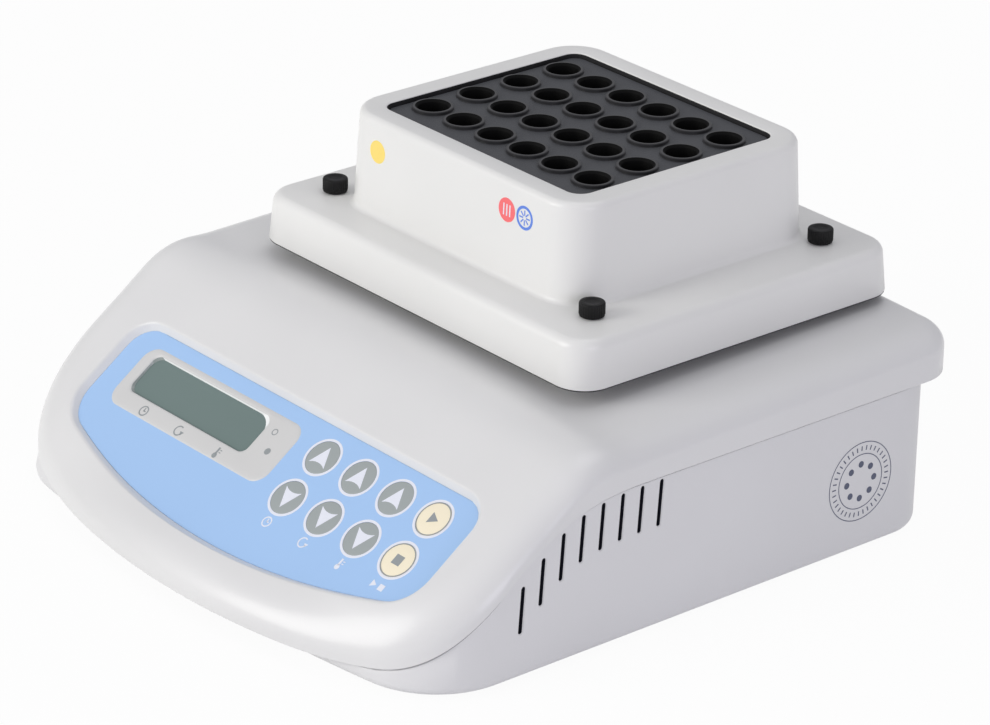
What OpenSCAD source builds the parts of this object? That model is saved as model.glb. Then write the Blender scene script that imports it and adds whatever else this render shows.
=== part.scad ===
// Thermal mixer: a bench shaker, heater and cooler for 24 microtubes.
// Millimetres, +Z up, front towards -Y, origin at the bottom centre.
// Under the deck a belt turns a shaft with a 1 mm eccentric. Idler cranks
// keep the platform square, so it and the block above it travel in a circle.

/* [Part to show] */
// Node to draw, or all of them

/* [Cover] */
// Width of the top cover
body_w = 239; // [200:1:280]
// Reach of the lip ahead of the origin
body_front = 126.5; // [115:0.5:150]
// Reach of the cover behind the origin
body_rear = 126.5; // [120:0.5:150]
// Wall of the cover and the base
wall = 2.5; // [1.5:0.1:4]
// Height of the deck where it bends into the panel
deck_z = 72.4; // [68:0.1:80]
// Rise of the deck towards the rear, degrees
deck_rise = 1.1; // [0:0.1:2]
// Fall of the deck from its middle to its sides
deck_crown = 2.4; // [0:0.1:4]
// Width of the rounding along the cover's top edge
edge_w = 13.5; // [6:0.5:14]
// Depth of that rounding along the lip
edge_h = 11.5; // [4:0.5:12]
// Depth of that rounding along the deck
edge_rear_h = 7; // [4:0.5:12]
// Radius of the bowed front lip, in plan
lip_bow = 290; // [200:1:400]
// Radius of the lip's corners, in plan
lip_corner = 38; // [20:0.5:46]
// Radius of the rear corners, in plan
rear_corner = 15.5; // [15:0.5:24]
// Height of the lip's crest at the front
nose_z = 17.5; // [15:0.5:22]

/* [Base] */
// Height of the base's underside above the bench
base_z = 1.5; // [1:0.1:4]
// Thickness of the floor
floor_t = 2.5; // [2:0.1:4]
// Height of the parting line along the rear
part_rear_z = 57; // [50:0.5:60]
// Height of the parting line under the lip
part_front_z = 5; // [5:0.5:12]
// Start of the parting line's fall, from the rear
part_fall_y = -15; // [-40:1:-10]
// Shape of that fall: above 1 it starts more slowly than it ends
part_fall_p = 1.45; // [1:0.05:1.6]
// Step from the cover's side in to the base's side
base_in_side = 1.0; // [0.5:0.1:3]
// Step from the lip in to the base's front
base_in_front = 8; // [6:0.5:18]
// Step from the cover's rear in to the base's rear
base_in_rear = 5.5; // [5:0.5:16]
// Radius of the base's bowed front, in plan
base_bow = 600; // [200:10:800]
// Radius of the base's front corners
base_corner = 32; // [20:1:40]
// Radius of the base's rear corners
base_rear_corner = 26; // [12:1:30]
// Number of air slots on each side
vent_n = 8; // [4:1:12]
// Distance from slot to slot
vent_pitch = 8.4; // [6:0.05:12]
// Height of a slot
vent_h = 16.8; // [8:0.1:22]
// Width of a slot
vent_w = 1.6; // [1:0.1:3]
// Position of the rearmost slot
vent_y = -10.8; // [-20:0.1:20]

/* [Control panel] */
// Tilt of the panel, degrees
panel_tilt = 35.5; // [25:0.5:42]
// Position of the panel's reference line
panel_y = -48.5; // [-52:0.5:-44]
// Height of the overlay at that line
panel_z = 63.5; // [60:0.5:67]
// Height of the surrounding ledge above the overlay
ledge_h = 2.5; // [1:0.1:4]
// Width of the ledge's sloping wall
ledge_w = 1.9; // [0.5:0.1:3]
// Width of the overlay
overlay_w = 191; // [150:1:210]
// Distance from the reference line down to the overlay's top edge
overlay_top = 20.4; // [18:0.1:24]
// Distance from the reference line down to its lowest point
overlay_low = 77.5; // [70:0.5:80]
// Radius of its bowed lower edge
overlay_bow = 283; // [200:1:400]
// Radius of its upper corners
overlay_r = 10; // [4:0.5:14]
// Radius of its lower corners
overlay_low_r = 14; // [8:0.5:20]
// Thickness of the overlay
overlay_t = 1.0; // [0.5:0.1:2]
// Diameter of a key
key_d = 13.4; // [8:0.1:14.5]
// Travel of a key
key_travel = 0.3; // [0.2:0.05:0.6]
// Distance from key to key along a row
key_pitch = 19.6; // [16:0.1:21]
// Distance between the two rows of keys
key_row = 18; // [16:0.1:20]
// Position of the first column of keys
key_x = 19.7; // [16:0.1:26]
// Distance from the reference line down to the upper row
key_s = 32.1; // [28:0.1:36]
// Width of the display's light frame
bezel_w = 88.5; // [70:0.5:90]
// Height of that frame
bezel_h = 25.8; // [20:0.1:28]
// Position of the frame's centre
bezel_x = -39.2; // [-50:0.1:-30]
// Distance from the reference line down to that centre
bezel_s = 38.9; // [34:0.1:42]
// Width of the display's window
window_w = 67; // [40:0.5:74]
// Height of the window
window_h = 16.4; // [10:0.1:20]
// Step from the frame's centre to the window's centre, across
window_dx = -5.5; // [-8:0.1:8]
// Step from the frame's centre up to the window's centre
window_ds = 2.4; // [-2:0.1:4]

/* [Block and wells] */
// Position of the block's centre
block_y = 51.5; // [45:0.5:60]
// Wells across
well_nx = 6; // [2:1:6]
// Wells front to back
well_ny = 4; // [2:1:4]
// Distance from well to well, across
well_px = 17; // [15.5:0.1:17.5]
// Distance from well to well, front to back
well_py = 20; // [15.5:0.1:21]
// Diameter of a well
well_d = 10.9; // [6:0.1:12]
// Depth of a well's straight part
well_straight = 20; // [10:0.5:24]
// Depth of a well in all
well_deep = 38; // [26:0.5:40]
// Diameter of the raised ring round a well
ring_d = 14.9; // [13:0.1:15.3]
// Height of that ring
ring_h = 1.3; // [0.5:0.1:2]
// Width of the block
block_w = 104.6; // [100:0.1:110]
// Depth of the block, front to back
block_d = 89.6; // [80:0.1:95]
// Height of the block's underside
block_z = 82; // [80:0.5:86]
// Height of the rings' top faces
well_z = 130; // [120:0.5:140]

/* [Block cover] */
// Gap between the block and the cover's opening
block_gap = 0.4; // [0.2:0.1:2]
// Height of the rim above the rings
rim_up = 0.4; // [0:0.1:2]
// Width of the tower at its top
tower_w = 124.8; // [120:0.1:136]
// Depth of the tower at its top
tower_d = 109.2; // [100:0.1:118]
// Radius of the tower's corners
tower_r = 15; // [10:0.5:20]
// Widening of the tower on each side at its foot
tower_draft = 1.3; // [0:0.1:3]
// Width of the flange at its foot
flange_w = 176; // [160:1:190]
// Depth of the flange at its foot
flange_d = 147; // [130:1:160]
// Radius of the flange's corners
flange_r = 12; // [8:0.5:20]
// Height of the flange's foot
flange_z = 76.9; // [75:0.1:80]
// Height of the flange
flange_h = 17.6; // [12:0.1:22]
// Narrowing of the flange on each side at its top
flange_draft = 1; // [0:0.1:3]
// Distance between thumbscrews, across
screw_px = 138.4; // [130:0.1:150]
// Distance between thumbscrews, front to back
screw_py = 104.6; // [95:0.1:120]
// Diameter of a thumbscrew's knob
knob_d = 8.7; // [6:0.1:12]
// Height of that knob
knob_h = 5; // [4:0.1:10]
// Diameter of a thumbscrew's shank
shank_d = 4; // [3:0.1:6]

/* [Platform] */
// Offset of the eccentric pin: half the orbit
orbit_r = 1.0; // [0.5:0.1:1.5]
// Gap between the platform and the deck's hole
deck_gap = 2.5; // [2:0.1:6]
// Width of the platform
plat_w = 151; // [146:1:156]
// Depth of the platform
plat_d = 119; // [112:1:124]
// Height of the platform's underside
plat_z = 70; // [68:0.1:71]
// Width of the carrier plate
carrier_w = 144; // [140:1:150]
// Depth of the carrier plate
carrier_d = 94; // [90:1:96]
// Height of the carrier plate's underside
carrier_z = 38; // [37:0.5:40]
// Thickness of the carrier plate
carrier_t = 4; // [3:0.1:5]
// Width of the heatsink
sink_w = 112; // [80:1:116]
// Depth of the heatsink
sink_d = 86; // [60:1:88]
// Thickness of the heatsink's base
sink_t = 7; // [4:0.1:8]
// Number of fins
fin_n = 19; // [9:1:25]
// Thickness of a fin
fin_t = 1.6; // [1:0.1:2.5]
// Length of a fin
fin_h = 18; // [10:0.5:20]
// Side of a thermoelectric module
tec_w = 40; // [30:1:40]
// Thickness of a module
tec_t = 3.8; // [3:0.1:4.5]

/* [Drive] */
// Diameter of the drive shaft and its pin
shaft_d = 8; // [6:0.1:10]
// Outer diameter of a ball bearing
bearing_od = 22; // [19:0.1:26]
// Width of a ball bearing
bearing_w = 7; // [5:0.1:8]
// Outer radius of the balancer
balancer_r = 44; // [38:0.5:48]
// Radius of the balls' track
track_r = 37.5; // [34:0.5:40]
// Diameter of a ball
ball_d = 8; // [5:0.5:9]
// Number of balls
ball_n = 8; // [4:1:12]
// Radius of the shaft pulley, where the belt runs
pulley_r = 17; // [12:0.5:20]
// Radius of the motor pulley, where the belt runs
pinion_r = 8.5; // [5:0.5:12]
// Distance from the shaft to the motor
motor_gap = 77.5; // [70:0.5:90]
// Diameter of the motor
motor_d = 42; // [30:1:48]
// Height of the motor
motor_h = 16; // [10:0.5:17]
// Width of the belt
belt_w = 3.4; // [2:0.1:3.6]
// Thickness of the belt
belt_t = 1.2; // [0.8:0.1:2]
// Distance from the shaft to an idler crank, across
idler_x = 60; // [56:0.5:64]
// Distance from the shaft to an idler crank, front to back
idler_y = 38; // [34:0.5:40]
// Radial clearance of a turning fit
run_fit = 0.05; // [0.02:0.01:0.1]

/* [Electrics] */
// Side of the fan
fan_w = 48; // [40:1:49]
// Depth of the fan
fan_t = 10; // [8:0.5:12]
// Position of the fan's centre
fan_x = 40; // [30:1:60]
// Number of fan blades
blade_n = 7; // [5:1:11]
// Width of the power switch
switch_w = 13; // [10:0.5:16]
// Height of the power switch
switch_h = 19; // [15:0.5:24]
// Position of the power switch
switch_x = -78; // [-80:1:-74]
// Position of the power inlet
inlet_x = -56; // [-64:1:-50]
// Tilt of the rocker at rest, degrees
rocker_tilt = 8; // [4:1:12]

/* [Hidden] */
$fn = 0;
$fa = 6;
$fs = 0.6;
e = 0.01;                                  // overrun of a cut
hw = body_w / 2;
front_y = -body_front;
rear_y = body_rear;
floor_z = base_z + floor_t;
plate_z = floor_z + 2;                     // underside of the chassis plate
plate_t = 2;
drive_z = plate_z + plate_t;               // face that the drive stands on
brg_z2 = drive_z + bearing_w + 1;          // upper bearing's underside
housing_top = brg_z2 + bearing_w;
web_z = housing_top + 1;                   // balancer web
pulley_z = web_z + 3;                      // underside of both pulleys
pulley_h = 6;
pin_z = pulley_z + pulley_h + 1.5;         // foot of the eccentric pin
ebrg_z = carrier_z + carrier_t - bearing_w;
motor_y = block_y - motor_gap;
plat_top = flange_z;
tec_z = plat_z;
heat_z = tec_z + tec_t;                    // underside of the heat plate
rim_z = well_z + rim_up;
wheel_z = (base_z + part_rear_z) / 2;      // centre line of the rear fittings
base_rear = rear_y - base_in_rear;
base_hw = hw - base_in_side;
base_front = front_y + base_in_front;
base_wall = wall + 0.5;
tongue_gap = 0.4;
part_gap = 0.4;
tray_t = wall;
idlers = [[-idler_x, -idler_y], [idler_x, -idler_y], [idler_x, idler_y]];
screws = [[-1, -1], [1, -1], [1, 1], [-1, 1]];
cover_bosses = [[-96, 94], [96, 94], [-99, -56], [99, -56]];
boss_z = 34;                               // where cover and base bosses meet
feet = [[-94, 76], [94, 76], [-90, -82], [90, -82]];
key_cols = 4;
bezel_r = 6;

// ---------- outlines ----------

function arc(c, r, a0, a1, n) =
  [for (i = [0:n]) let (a = a0 + (a1 - a0) * i / n) [c[0] + r * cos(a), c[1] + r * sin(a)]];
function mirrored(p) = [for (i = [len(p) - 1:-1:0]) [-p[i][0], p[i][1]]];

// Right half of a body outline, front to rear: bowed front, corner, side,
// rear corner. Inset by d. The first point lies at start_x.
function half_outline(half_w, yf, yr, bow, rc, rr, d, start_x, sides) =
  let (cy = yf + bow, cx = half_w - rc,
       cc = cy - sqrt(pow(bow - rc, 2) - cx * cx),
       a_in = atan2(cc - cy, cx),
       a_start = -acos(start_x / bow))
  concat(
    arc([0, cy], bow - d, a_start, a_in - 1, 6),
    arc([cx, cc], rc - d, a_in, 0, 6),
    [for (i = [1:1:sides - 1]) [half_w - d, cc + (yr - rr - cc) * i / sides]],
    arc([half_w - rr, yr - rr], rr - d, 0, 90, 4));

function base_outline(d) =
  let (r = half_outline(base_hw, base_front, base_rear, base_bow, base_corner, base_rear_corner, d, 14, 1))
  concat(r, mirrored(r));

// Counter-clockwise rounded rectangle about the origin.
function round_rect(w, d, r, n = 6) = concat(
  arc([w / 2 - r, -d / 2 + r], r, -90, 0, n), arc([w / 2 - r, d / 2 - r], r, 0, 90, n),
  arc([-w / 2 + r, d / 2 - r], r, 90, 180, n), arc([-w / 2 + r, -d / 2 + r], r, 180, 270, n));

// Overlay outline in the panel's own plane, grown by g.
function overlay_outline(g) =
  let (cy = overlay_bow - overlay_low, cx = overlay_w / 2 - overlay_low_r,
       cc = cy - sqrt(pow(overlay_bow - overlay_low_r, 2) - cx * cx),
       a_in = atan2(cc - cy, cx),
       ux = overlay_w / 2 - overlay_r, uy = -overlay_top - overlay_r,
       r = concat(arc([0, cy], overlay_bow + g, -89, a_in, 10),
                  arc([cx, cc], overlay_low_r + g, a_in + 8, 0, 6),
                  arc([ux, uy], overlay_r + g, 0, 90, 6)))
  concat(r, mirrored(r));

// ---------- surfaces ----------

function part_end_y() = front_y + 4.5;
// Height of the parting line: level, a smooth fall, level under the lip.
function part_at(y) =
  let (t = min(1, max(0, (part_fall_y - y) / (part_fall_y - part_end_y()))))
  part_rear_z - (part_rear_z - part_front_z) * (1 - cos(180 * pow(t, part_fall_p))) / 2;

function smooth_min(a, b, k) = let (h = max(k - abs(a - b), 0) / k) min(a, b) - h * h * k / 4;
function smooth_max(a, b, k) = -smooth_min(-a, -b, k);
function ledge_at(y) =
  panel_z + (y - panel_y) * tan(panel_tilt) + ledge_h / cos(panel_tilt);
function bend_y() = panel_y + (deck_z - panel_z - ledge_h / cos(panel_tilt)) / tan(panel_tilt);
// Height of the cover's crest line along Y.
function crest_at(y) =
  let (deck = deck_z + (y - bend_y()) * tan(deck_rise),
       nose = nose_z + (y - front_y) * 0.2)
  smooth_max(smooth_min(deck, ledge_at(y), 7), nose, 2.5);
function crown_at(x, y) =
  deck_crown * pow(x / hw, 2) * min(1, max(0, (y - panel_y) / 30));
function skin_at(x, y) = crest_at(y) - crown_at(x, y);

// ---------- lofts ----------

// Faces between equal rings, each counter-clockwise seen from above, in
// order outwards over the solid's surface.
function ring_faces(n, rings, at = 0) =
  [for (k = [0:rings - 2], i = [0:n - 1], s = [0, 1])
    let (j = (i + 1) % n, a = at + k * n + i, b = at + k * n + j,
         c = at + (k + 1) * n + j, d = at + (k + 1) * n + i)
    s == 0 ? [a, d, c] : [a, c, b]];

// Solid through a list of rings, bottom to top, with flat ends.
module loft(rings) {
  n = len(rings[0]);
  polyhedron(
    points = [for (r = rings, p = r) p],
    faces = concat([[for (i = [0:n - 1]) i]],
      ring_faces(n, len(rings)),
      [[for (i = [n - 1:-1:0]) (len(rings) - 1) * n + i]]));
}
// Ring-shaped solid through a closed list of rings.
module ring_loft(rings) {
  n = len(rings[0]);
  closed = concat(rings, [rings[0]]);
  polyhedron(
    points = [for (r = rings, p = r) p],
    faces = [for (f = ring_faces(n, len(closed))) [for (v = f) v % (n * len(rings))]]);
}
function at_z(p, z) = [for (q = p) [q[0], q[1], z]];

// The cover's skin: rows across the deck, joined to rings round its edge.
cols = 8;
side_n = 22;
function cover_half(d) =
  half_outline(hw, front_y, rear_y, lip_bow, lip_corner, rear_corner, d, 26, side_n);
function cover_ring(d) =
  let (r = cover_half(d), n = len(r), l = mirrored(r),
       a = acos(26 / lip_bow))
  concat(r,
    [for (j = [1:cols - 1]) [r[n - 1][0] * (1 - 2 * j / cols), rear_y - d]],
    l,
    [for (j = [1:cols - 1]) let (t = -(180 - a) + (180 - 2 * a) * j / cols)
      [(lip_bow - d) * cos(t), front_y + lip_bow + (lip_bow - d) * sin(t)]]);
half_n = len(cover_half(0));
ring_n = 2 * half_n + 2 * (cols - 1);
// Index of row i, column j of a cap whose ring starts at r0 and whose
// inner points start at p0.
function cap_at(i, j, r0, p0) =
  j == cols ? r0 + i :
  j == 0 ? r0 + half_n + cols - 1 + (half_n - 1 - i) :
  i == 0 ? r0 + 2 * half_n + cols - 1 + (j - 1) :
  i == half_n - 1 ? r0 + half_n + (cols - 1 - j) :
  p0 + (i - 1) * (cols - 1) + (j - 1);
function cap_faces(r0, p0, up) =
  [for (i = [0:half_n - 2], j = [0:cols - 1], s = [0, 1])
    let (a = cap_at(i, j, r0, p0), b = cap_at(i, j + 1, r0, p0),
         c = cap_at(i + 1, j + 1, r0, p0), d = cap_at(i + 1, j, r0, p0))
    up ? (s == 0 ? [a, d, c] : [a, c, b]) : (s == 0 ? [a, c, d] : [a, b, c])];
function cap_points(d, down) =
  let (r = cover_half(d))
  [for (i = [1:half_n - 2], j = [1:cols - 1])
    let (x = r[i][0] * (2 * j / cols - 1), y = r[i][1])
    [x, y, skin_at(x, y) - down]];

// Depth of the rounding: that of the lip, easing to that of the deck.
function edge_deep(y) =
  edge_rear_h + (edge_h - edge_rear_h) * min(1, max(0, (panel_y + 30 - y) / 60));
// Height of a point on the rounding: share runs from 1 at its foot to 0.
function edge_z(p, share, down, deep) =
  let (top = skin_at(p[0], p[1]) - down)
  top - share * min(deep, top - part_at(p[1]) - 0.8);
module cover_skin() {
  inner_drop = wall * 1.15;
  // [inset, share of the rounding left above, true for the inside]
  outer = [for (k = [0:5]) let (a = 18 * k) [edge_w * (1 - cos(a)), 1 - sin(a)]];
  inner = [for (k = [3:-1:0]) let (a = 30 * k)
    [wall + (edge_w - wall) * (1 - cos(a)), 1 - sin(a)]];
  rings = concat(
    [for (o = inner) [for (p = cover_ring(o[0])) [p[0], p[1], edge_z(p, o[1], inner_drop, edge_deep(p[1]) - 1)]]],
    [[for (p = cover_ring(wall)) [p[0], p[1], part_at(p[1])]]],
    [[for (p = cover_ring(0)) [p[0], p[1], part_at(p[1])]]],
    [for (o = outer) [for (p = cover_ring(o[0])) [p[0], p[1], edge_z(p, o[1], 0, edge_deep(p[1]))]]]);
  count = len(rings);
  low = cap_points(edge_w, inner_drop);
  high = cap_points(edge_w, 0);
  p0 = count * ring_n;
  polyhedron(
    points = concat([for (r = rings, p = r) p], low, high),
    faces = concat(ring_faces(ring_n, count),
      cap_faces(0, p0, false),
      cap_faces((count - 1) * ring_n, p0 + len(low), true)));
}

// Places children in the panel's plane: X across, Y up the slope, Z out.
module on_panel() translate([0, panel_y, panel_z]) rotate([panel_tilt, 0, 0]) children();
module on_block() translate([0, block_y, 0]) children();
module slab(w, d, r, z0, z1) translate([0, 0, z0])
  linear_extrude(z1 - z0) polygon(round_rect(w, d, r));
module rod(d, z0, z1) translate([0, 0, z0]) cylinder(d = d, h = z1 - z0);
module ring(do, di, z0, z1) difference() {
  rod(do, z0, z1);
  rod(di, z0 - e, z1 + e);
}
// Side-view band along the parting line, from a below it to b above it.
module part_band(a, b) {
  ys = concat([front_y - 20], [for (i = [0:16]) part_fall_y + (part_end_y() - part_fall_y) * (1 - i / 16)],
              [rear_y + 20]);
  rotate([90, 0, 90]) linear_extrude(body_w + 40, center = true)
    polygon(concat([for (y = ys) [y, part_at(y) + b]],
      a == undef ? [[rear_y + 20, -20], [front_y - 20, -20]]
                 : [for (i = [len(ys) - 1:-1:0]) [ys[i], part_at(ys[i]) + a]]));
}
function key_at(i) = [key_x + key_pitch * (i % key_cols), -key_s - key_row * floor(i / key_cols)];
module at_bezel() translate([bezel_x, -bezel_s, 0]) children();
module at_window() at_bezel() translate([window_dx, window_ds, 0]) children();

// ---------- casing ----------

module top_cover() color([0.86, 0.87, 0.85]) difference() {
  union() {
    cover_skin();
    // Tray that carries the overlay.
    on_panel() translate([0, 0, -overlay_t - tray_t])
      linear_extrude(overlay_t + tray_t + ledge_h / 2) polygon(overlay_outline(ledge_w + 1));
    // Screw bosses, closed by the deck or the panel above them.
    for (b = cover_bosses) difference() {
      translate([b[0], b[1], boss_z]) cylinder(d = 9, h = crest_at(b[1]) - boss_z);
      if (b[1] < 0) on_panel() translate([-hw, -200, ledge_h - wall / 2]) cube([body_w, 400, 60]);
      else translate([b[0] - 10, b[1] - 10, skin_at(b[0], b[1]) - wall / 2 - 0.2]) cube([20, 20, 20]);
    }
  }
  // Hole that the platform moves in.
  on_block() slab(plat_w + 2 * deck_gap, plat_d + 2 * deck_gap, 10, plat_z - 10, deck_z + 20);
  on_panel() {
    loft([at_z(overlay_outline(0.3), -overlay_t), at_z(overlay_outline(0.3), 0),
          at_z(overlay_outline(0.3 + ledge_w), ledge_h),
          at_z(overlay_outline(0.3 + ledge_w + 2), ledge_h + 3)]);
    for (i = [0:7]) translate(key_at(i)) rod(7, -overlay_t - tray_t - 1, 0);
    at_window() slab(window_w + 2, window_h + 2, 3.5, -overlay_t - tray_t - 1, 0);
  }
  for (b = cover_bosses) translate([b[0], b[1], 0]) rod(2.6, boss_z - e, boss_z + 9);
}

// Air slots of one side, just under the parting line.
module vents(s) for (i = [0:vent_n - 1]) {
  y = vent_y - vent_pitch * i;
  z1 = part_at(y) - 1.4 - 0.23 * max(0, panel_y - y);
  r = vent_w / 2;
  translate([s * base_hw - 6, 0, 0]) rotate([90, 0, 90]) linear_extrude(12)
    polygon(concat(arc([y, z1 - r], r, 0, 180, 6), arc([y - 1, z1 - vent_h + r], r, 180, 360, 6)));
}

module base_housing() color([0.80, 0.80, 0.81]) {
  difference() {
    union() {
      intersection() {
        loft([at_z(base_outline(2), base_z), at_z(base_outline(0.7), base_z + 0.5),
              at_z(base_outline(0), base_z + 2), at_z(base_outline(0), part_rear_z + 5)]);
        part_band(undef, -part_gap);
      }
      // Tongue inside the cover's skirt, and the shelf that closes its
      // overhang at the front and the rear.
      intersection() {
        translate([0, 0, base_z + 2]) linear_extrude(part_rear_z + 3)
          intersection() {
            polygon(cover_ring(wall + tongue_gap));
            polygon(base_outline(0));
          }
        part_band(-4, 1.2);
      }
      intersection() {
        linear_extrude(part_rear_z + 5) polygon(cover_ring(wall + tongue_gap));
        part_band(0, 1.2);
      }
    }
    difference() {
      translate([0, 0, floor_z]) linear_extrude(part_rear_z + 10) polygon(base_outline(base_wall));
      // Bosses for the cover, the chassis plate and the boards.
      for (b = cover_bosses) translate([b[0], b[1], 0]) rod(9, floor_z - 1, boss_z);
      for (p = chassis_points()) translate(p) rod(8, floor_z - 1, plate_z);
      for (p = board_points()) translate(p) rod(6, floor_z - 1, plate_z);
    }
    vents(1);
    vents(-1);
    // Rear grille, switch and inlet.
    translate([fan_x, base_rear, wheel_z]) for (i = [-4:4])
      translate([0, 0, 5 * i]) cube([2 * sqrt(pow(fan_w / 2 - 2, 2) - 25 * i * i), 20, 2.2], center = true);
    translate([switch_x, base_rear, wheel_z]) cube([switch_w + 0.4, 20, switch_h + 0.4], center = true);
    translate([inlet_x, base_rear, wheel_z]) rotate([90, 0, 0]) cylinder(d = 11.2, h = 20, center = true);
    for (b = cover_bosses) translate([b[0], b[1], 0]) {
      rod(3.4, -1, boss_z + e);
      rod(6.4, -1, base_z + 6);
    }
    for (p = concat(chassis_points(), board_points())) translate(p) rod(2.4, floor_z - 0.9, plate_z + e);
    for (f = feet) translate([f[0], f[1], 0]) rod(15.4, -1, base_z + 1);
  }
}
function chassis_points() = [for (x = [-75, 75], y = [motor_y + 6, block_y + 44]) [x, y, 0]];
function board_points() = [for (x = [-62, 62], y = [-102, -66]) [x, y, 0]];

module rubber_feet() color([0.12, 0.12, 0.12]) for (f = feet) translate([f[0], f[1], 0]) {
  rod(15, 0, base_z + 1);
}
module cover_screws() color([0.7, 0.7, 0.72]) for (b = cover_bosses) translate([b[0], b[1], 0]) {
  rod(5.6, base_z + 3.4, base_z + 6);
  rod(2.5, base_z + 6, boss_z + 8);
}

// ---------- control panel ----------

module keypad_overlay() color([0.60, 0.76, 0.95]) on_panel() difference() {
  translate([0, 0, -overlay_t]) linear_extrude(overlay_t) polygon(overlay_outline(0));
  for (i = [0:7]) translate(key_at(i)) rod(key_d + 0.6, -overlay_t - e, e);
  at_bezel() slab(bezel_w + 0.1, bezel_h + 0.1, bezel_r, -overlay_t - e, e);
}
module display_frame() color([0.88, 0.88, 0.88]) on_panel() at_bezel() difference() {
  slab(bezel_w, bezel_h, bezel_r, -overlay_t, 0);
  translate([window_dx, window_ds, 0]) slab(window_w, window_h, 3, -overlay_t - e, e);
}
module display_window() color([0.45, 0.52, 0.50]) on_panel() at_window()
  slab(window_w + 1.6, window_h + 1.6, 3.2, -overlay_t - 1, -overlay_t);
module display_module() color([0.25, 0.30, 0.28]) on_panel() at_window()
  slab(window_w + 1, window_h + 1, 3.2, -board_drop(), -overlay_t - 1.1);
function board_drop() = overlay_t + tray_t + 4;
module control_board() color([0.10, 0.35, 0.20]) on_panel() difference() {
  translate([-88, -68, -board_drop() - 1.6]) cube([184, 46, 1.6]);
  for (x = [-84, 92], s = [-64, -26]) translate([x, s, 0]) rod(3, -board_drop() - 2, -board_drop() + 1);
}
module key_switches() color([0.15, 0.15, 0.16]) on_panel() for (i = [0:7]) translate(key_at(i)) {
  translate([-3, -3, -board_drop()]) cube([6, 6, 3.2]);
  rod(3, -board_drop() + 3.2, -overlay_t - tray_t - 0.4);
}
module key(i) color(i % key_cols == 3 ? [0.97, 0.92, 0.80] : [0.63, 0.66, 0.66])
  on_panel() translate(key_at(i)) {
    rod(key_d, -overlay_t + key_travel + 0.1, 0);
    rod(3.4, -overlay_t - tray_t, -overlay_t + key_travel + 0.1);
  }

// ---------- electrics ----------

module main_board() color([0.10, 0.35, 0.20]) difference() {
  union() {
    translate([-68, -108, plate_z]) cube([136, 48, 1.6]);
    for (x = [-40, -24]) translate([x, -88, plate_z + 1.6]) cylinder(d = 8, h = 5);
    translate([20, -96, plate_z + 1.6]) cube([14, 14, 2.2]);
    translate([-6, -70, plate_z + 1.6]) cube([26, 6, 5]);
  }
  for (p = board_points()) translate(p) rod(3, plate_z - 1, plate_z + 3);
}
module power_inlet() color([0.10, 0.10, 0.11]) translate([inlet_x, base_rear, wheel_z]) rotate([-90, 0, 0]) {
  difference() {
    union() {
      rod(10.8, -14, 0.2);
      rod(13, 0, 1.5);
      rod(14, -base_wall - 2.5, -base_wall);
    }
    rod(5.6, -10, 2);
  }
  rod(2, -11, 0.5);
}
module power_switch_body() color([0.10, 0.10, 0.11]) translate([switch_x, base_rear, wheel_z])
  difference() {
    union() {
      translate([-switch_w / 2, -14, -switch_h / 2]) cube([switch_w, 14.1, switch_h]);
      translate([-switch_w / 2 - 1.5, 0, -switch_h / 2 - 1.5]) cube([switch_w + 3, 1.6, switch_h + 3]);
    }
    translate([-switch_w / 2 + 1.2, -8, -switch_h / 2 + 1.2]) cube([switch_w - 2.4, 12, switch_h - 2.4]);
    translate([0, -3, 0]) rotate([0, 90, 0]) cylinder(d = 2.1, h = switch_w + 1, center = true);
  }
// Rocker with a shallow V face, on a pin across the switch.
module power_rocker() color([0.14, 0.14, 0.15]) translate([switch_x, base_rear - 3, wheel_z])
  rotate([rocker_tilt, 0, 0]) {
    half = switch_h / 2 - 2.4;
    rotate([90, 0, 90]) linear_extrude(switch_w - 3.2, center = true)
      polygon([[-2.5, -half + 2], [3.4, -half], [5.6, -half], [4.2, 0], [5.6, half], [3.4, half], [-2.5, half - 2]]);
    rotate([0, 90, 0]) cylinder(d = 2, h = switch_w - 0.4, center = true);
  }

module on_fan() translate([fan_x, base_rear - base_wall - fan_t - 0.2, wheel_z]) rotate([-90, 0, 0]) children();
module fan_frame() color([0.12, 0.12, 0.13]) on_fan() {
  difference() {
    slab(fan_w, fan_w, 3, 0, fan_t);
    rod(fan_w - 3, -e, fan_t + e);
    for (s = screws) translate([s[0] * (fan_w / 2 - 4.5), s[1] * (fan_w / 2 - 4.5), 0]) rod(3.4, -e, fan_t + e);
  }
  // Hub plate on four struts, with the pin that the rotor turns on.
  rod(20, 0, 1.5);
  for (a = [0:90:270]) rotate(a + 20) translate([9, -1, 0]) cube([fan_w / 2 - 9.8, 2, 1.5]);
  rod(3, 0, fan_t - 2);
}
module fan_rotor() color([0.17, 0.17, 0.18]) on_fan() {
  difference() {
    rod(20, 2, fan_t - 0.8);
    rod(3 + 2 * run_fit, 1, fan_t - 1.8);
  }
  for (i = [0:blade_n - 1]) rotate(360 / blade_n * i)
    translate([9, 0, (fan_t + 1) / 2]) rotate([38, 0, 0]) translate([0, -0.6, -fan_t / 2 + 1.6])
      cube([fan_w / 2 - 1.5 - 9.8, 1.2, fan_t - 3.2]);
}

// ---------- drive ----------

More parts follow.
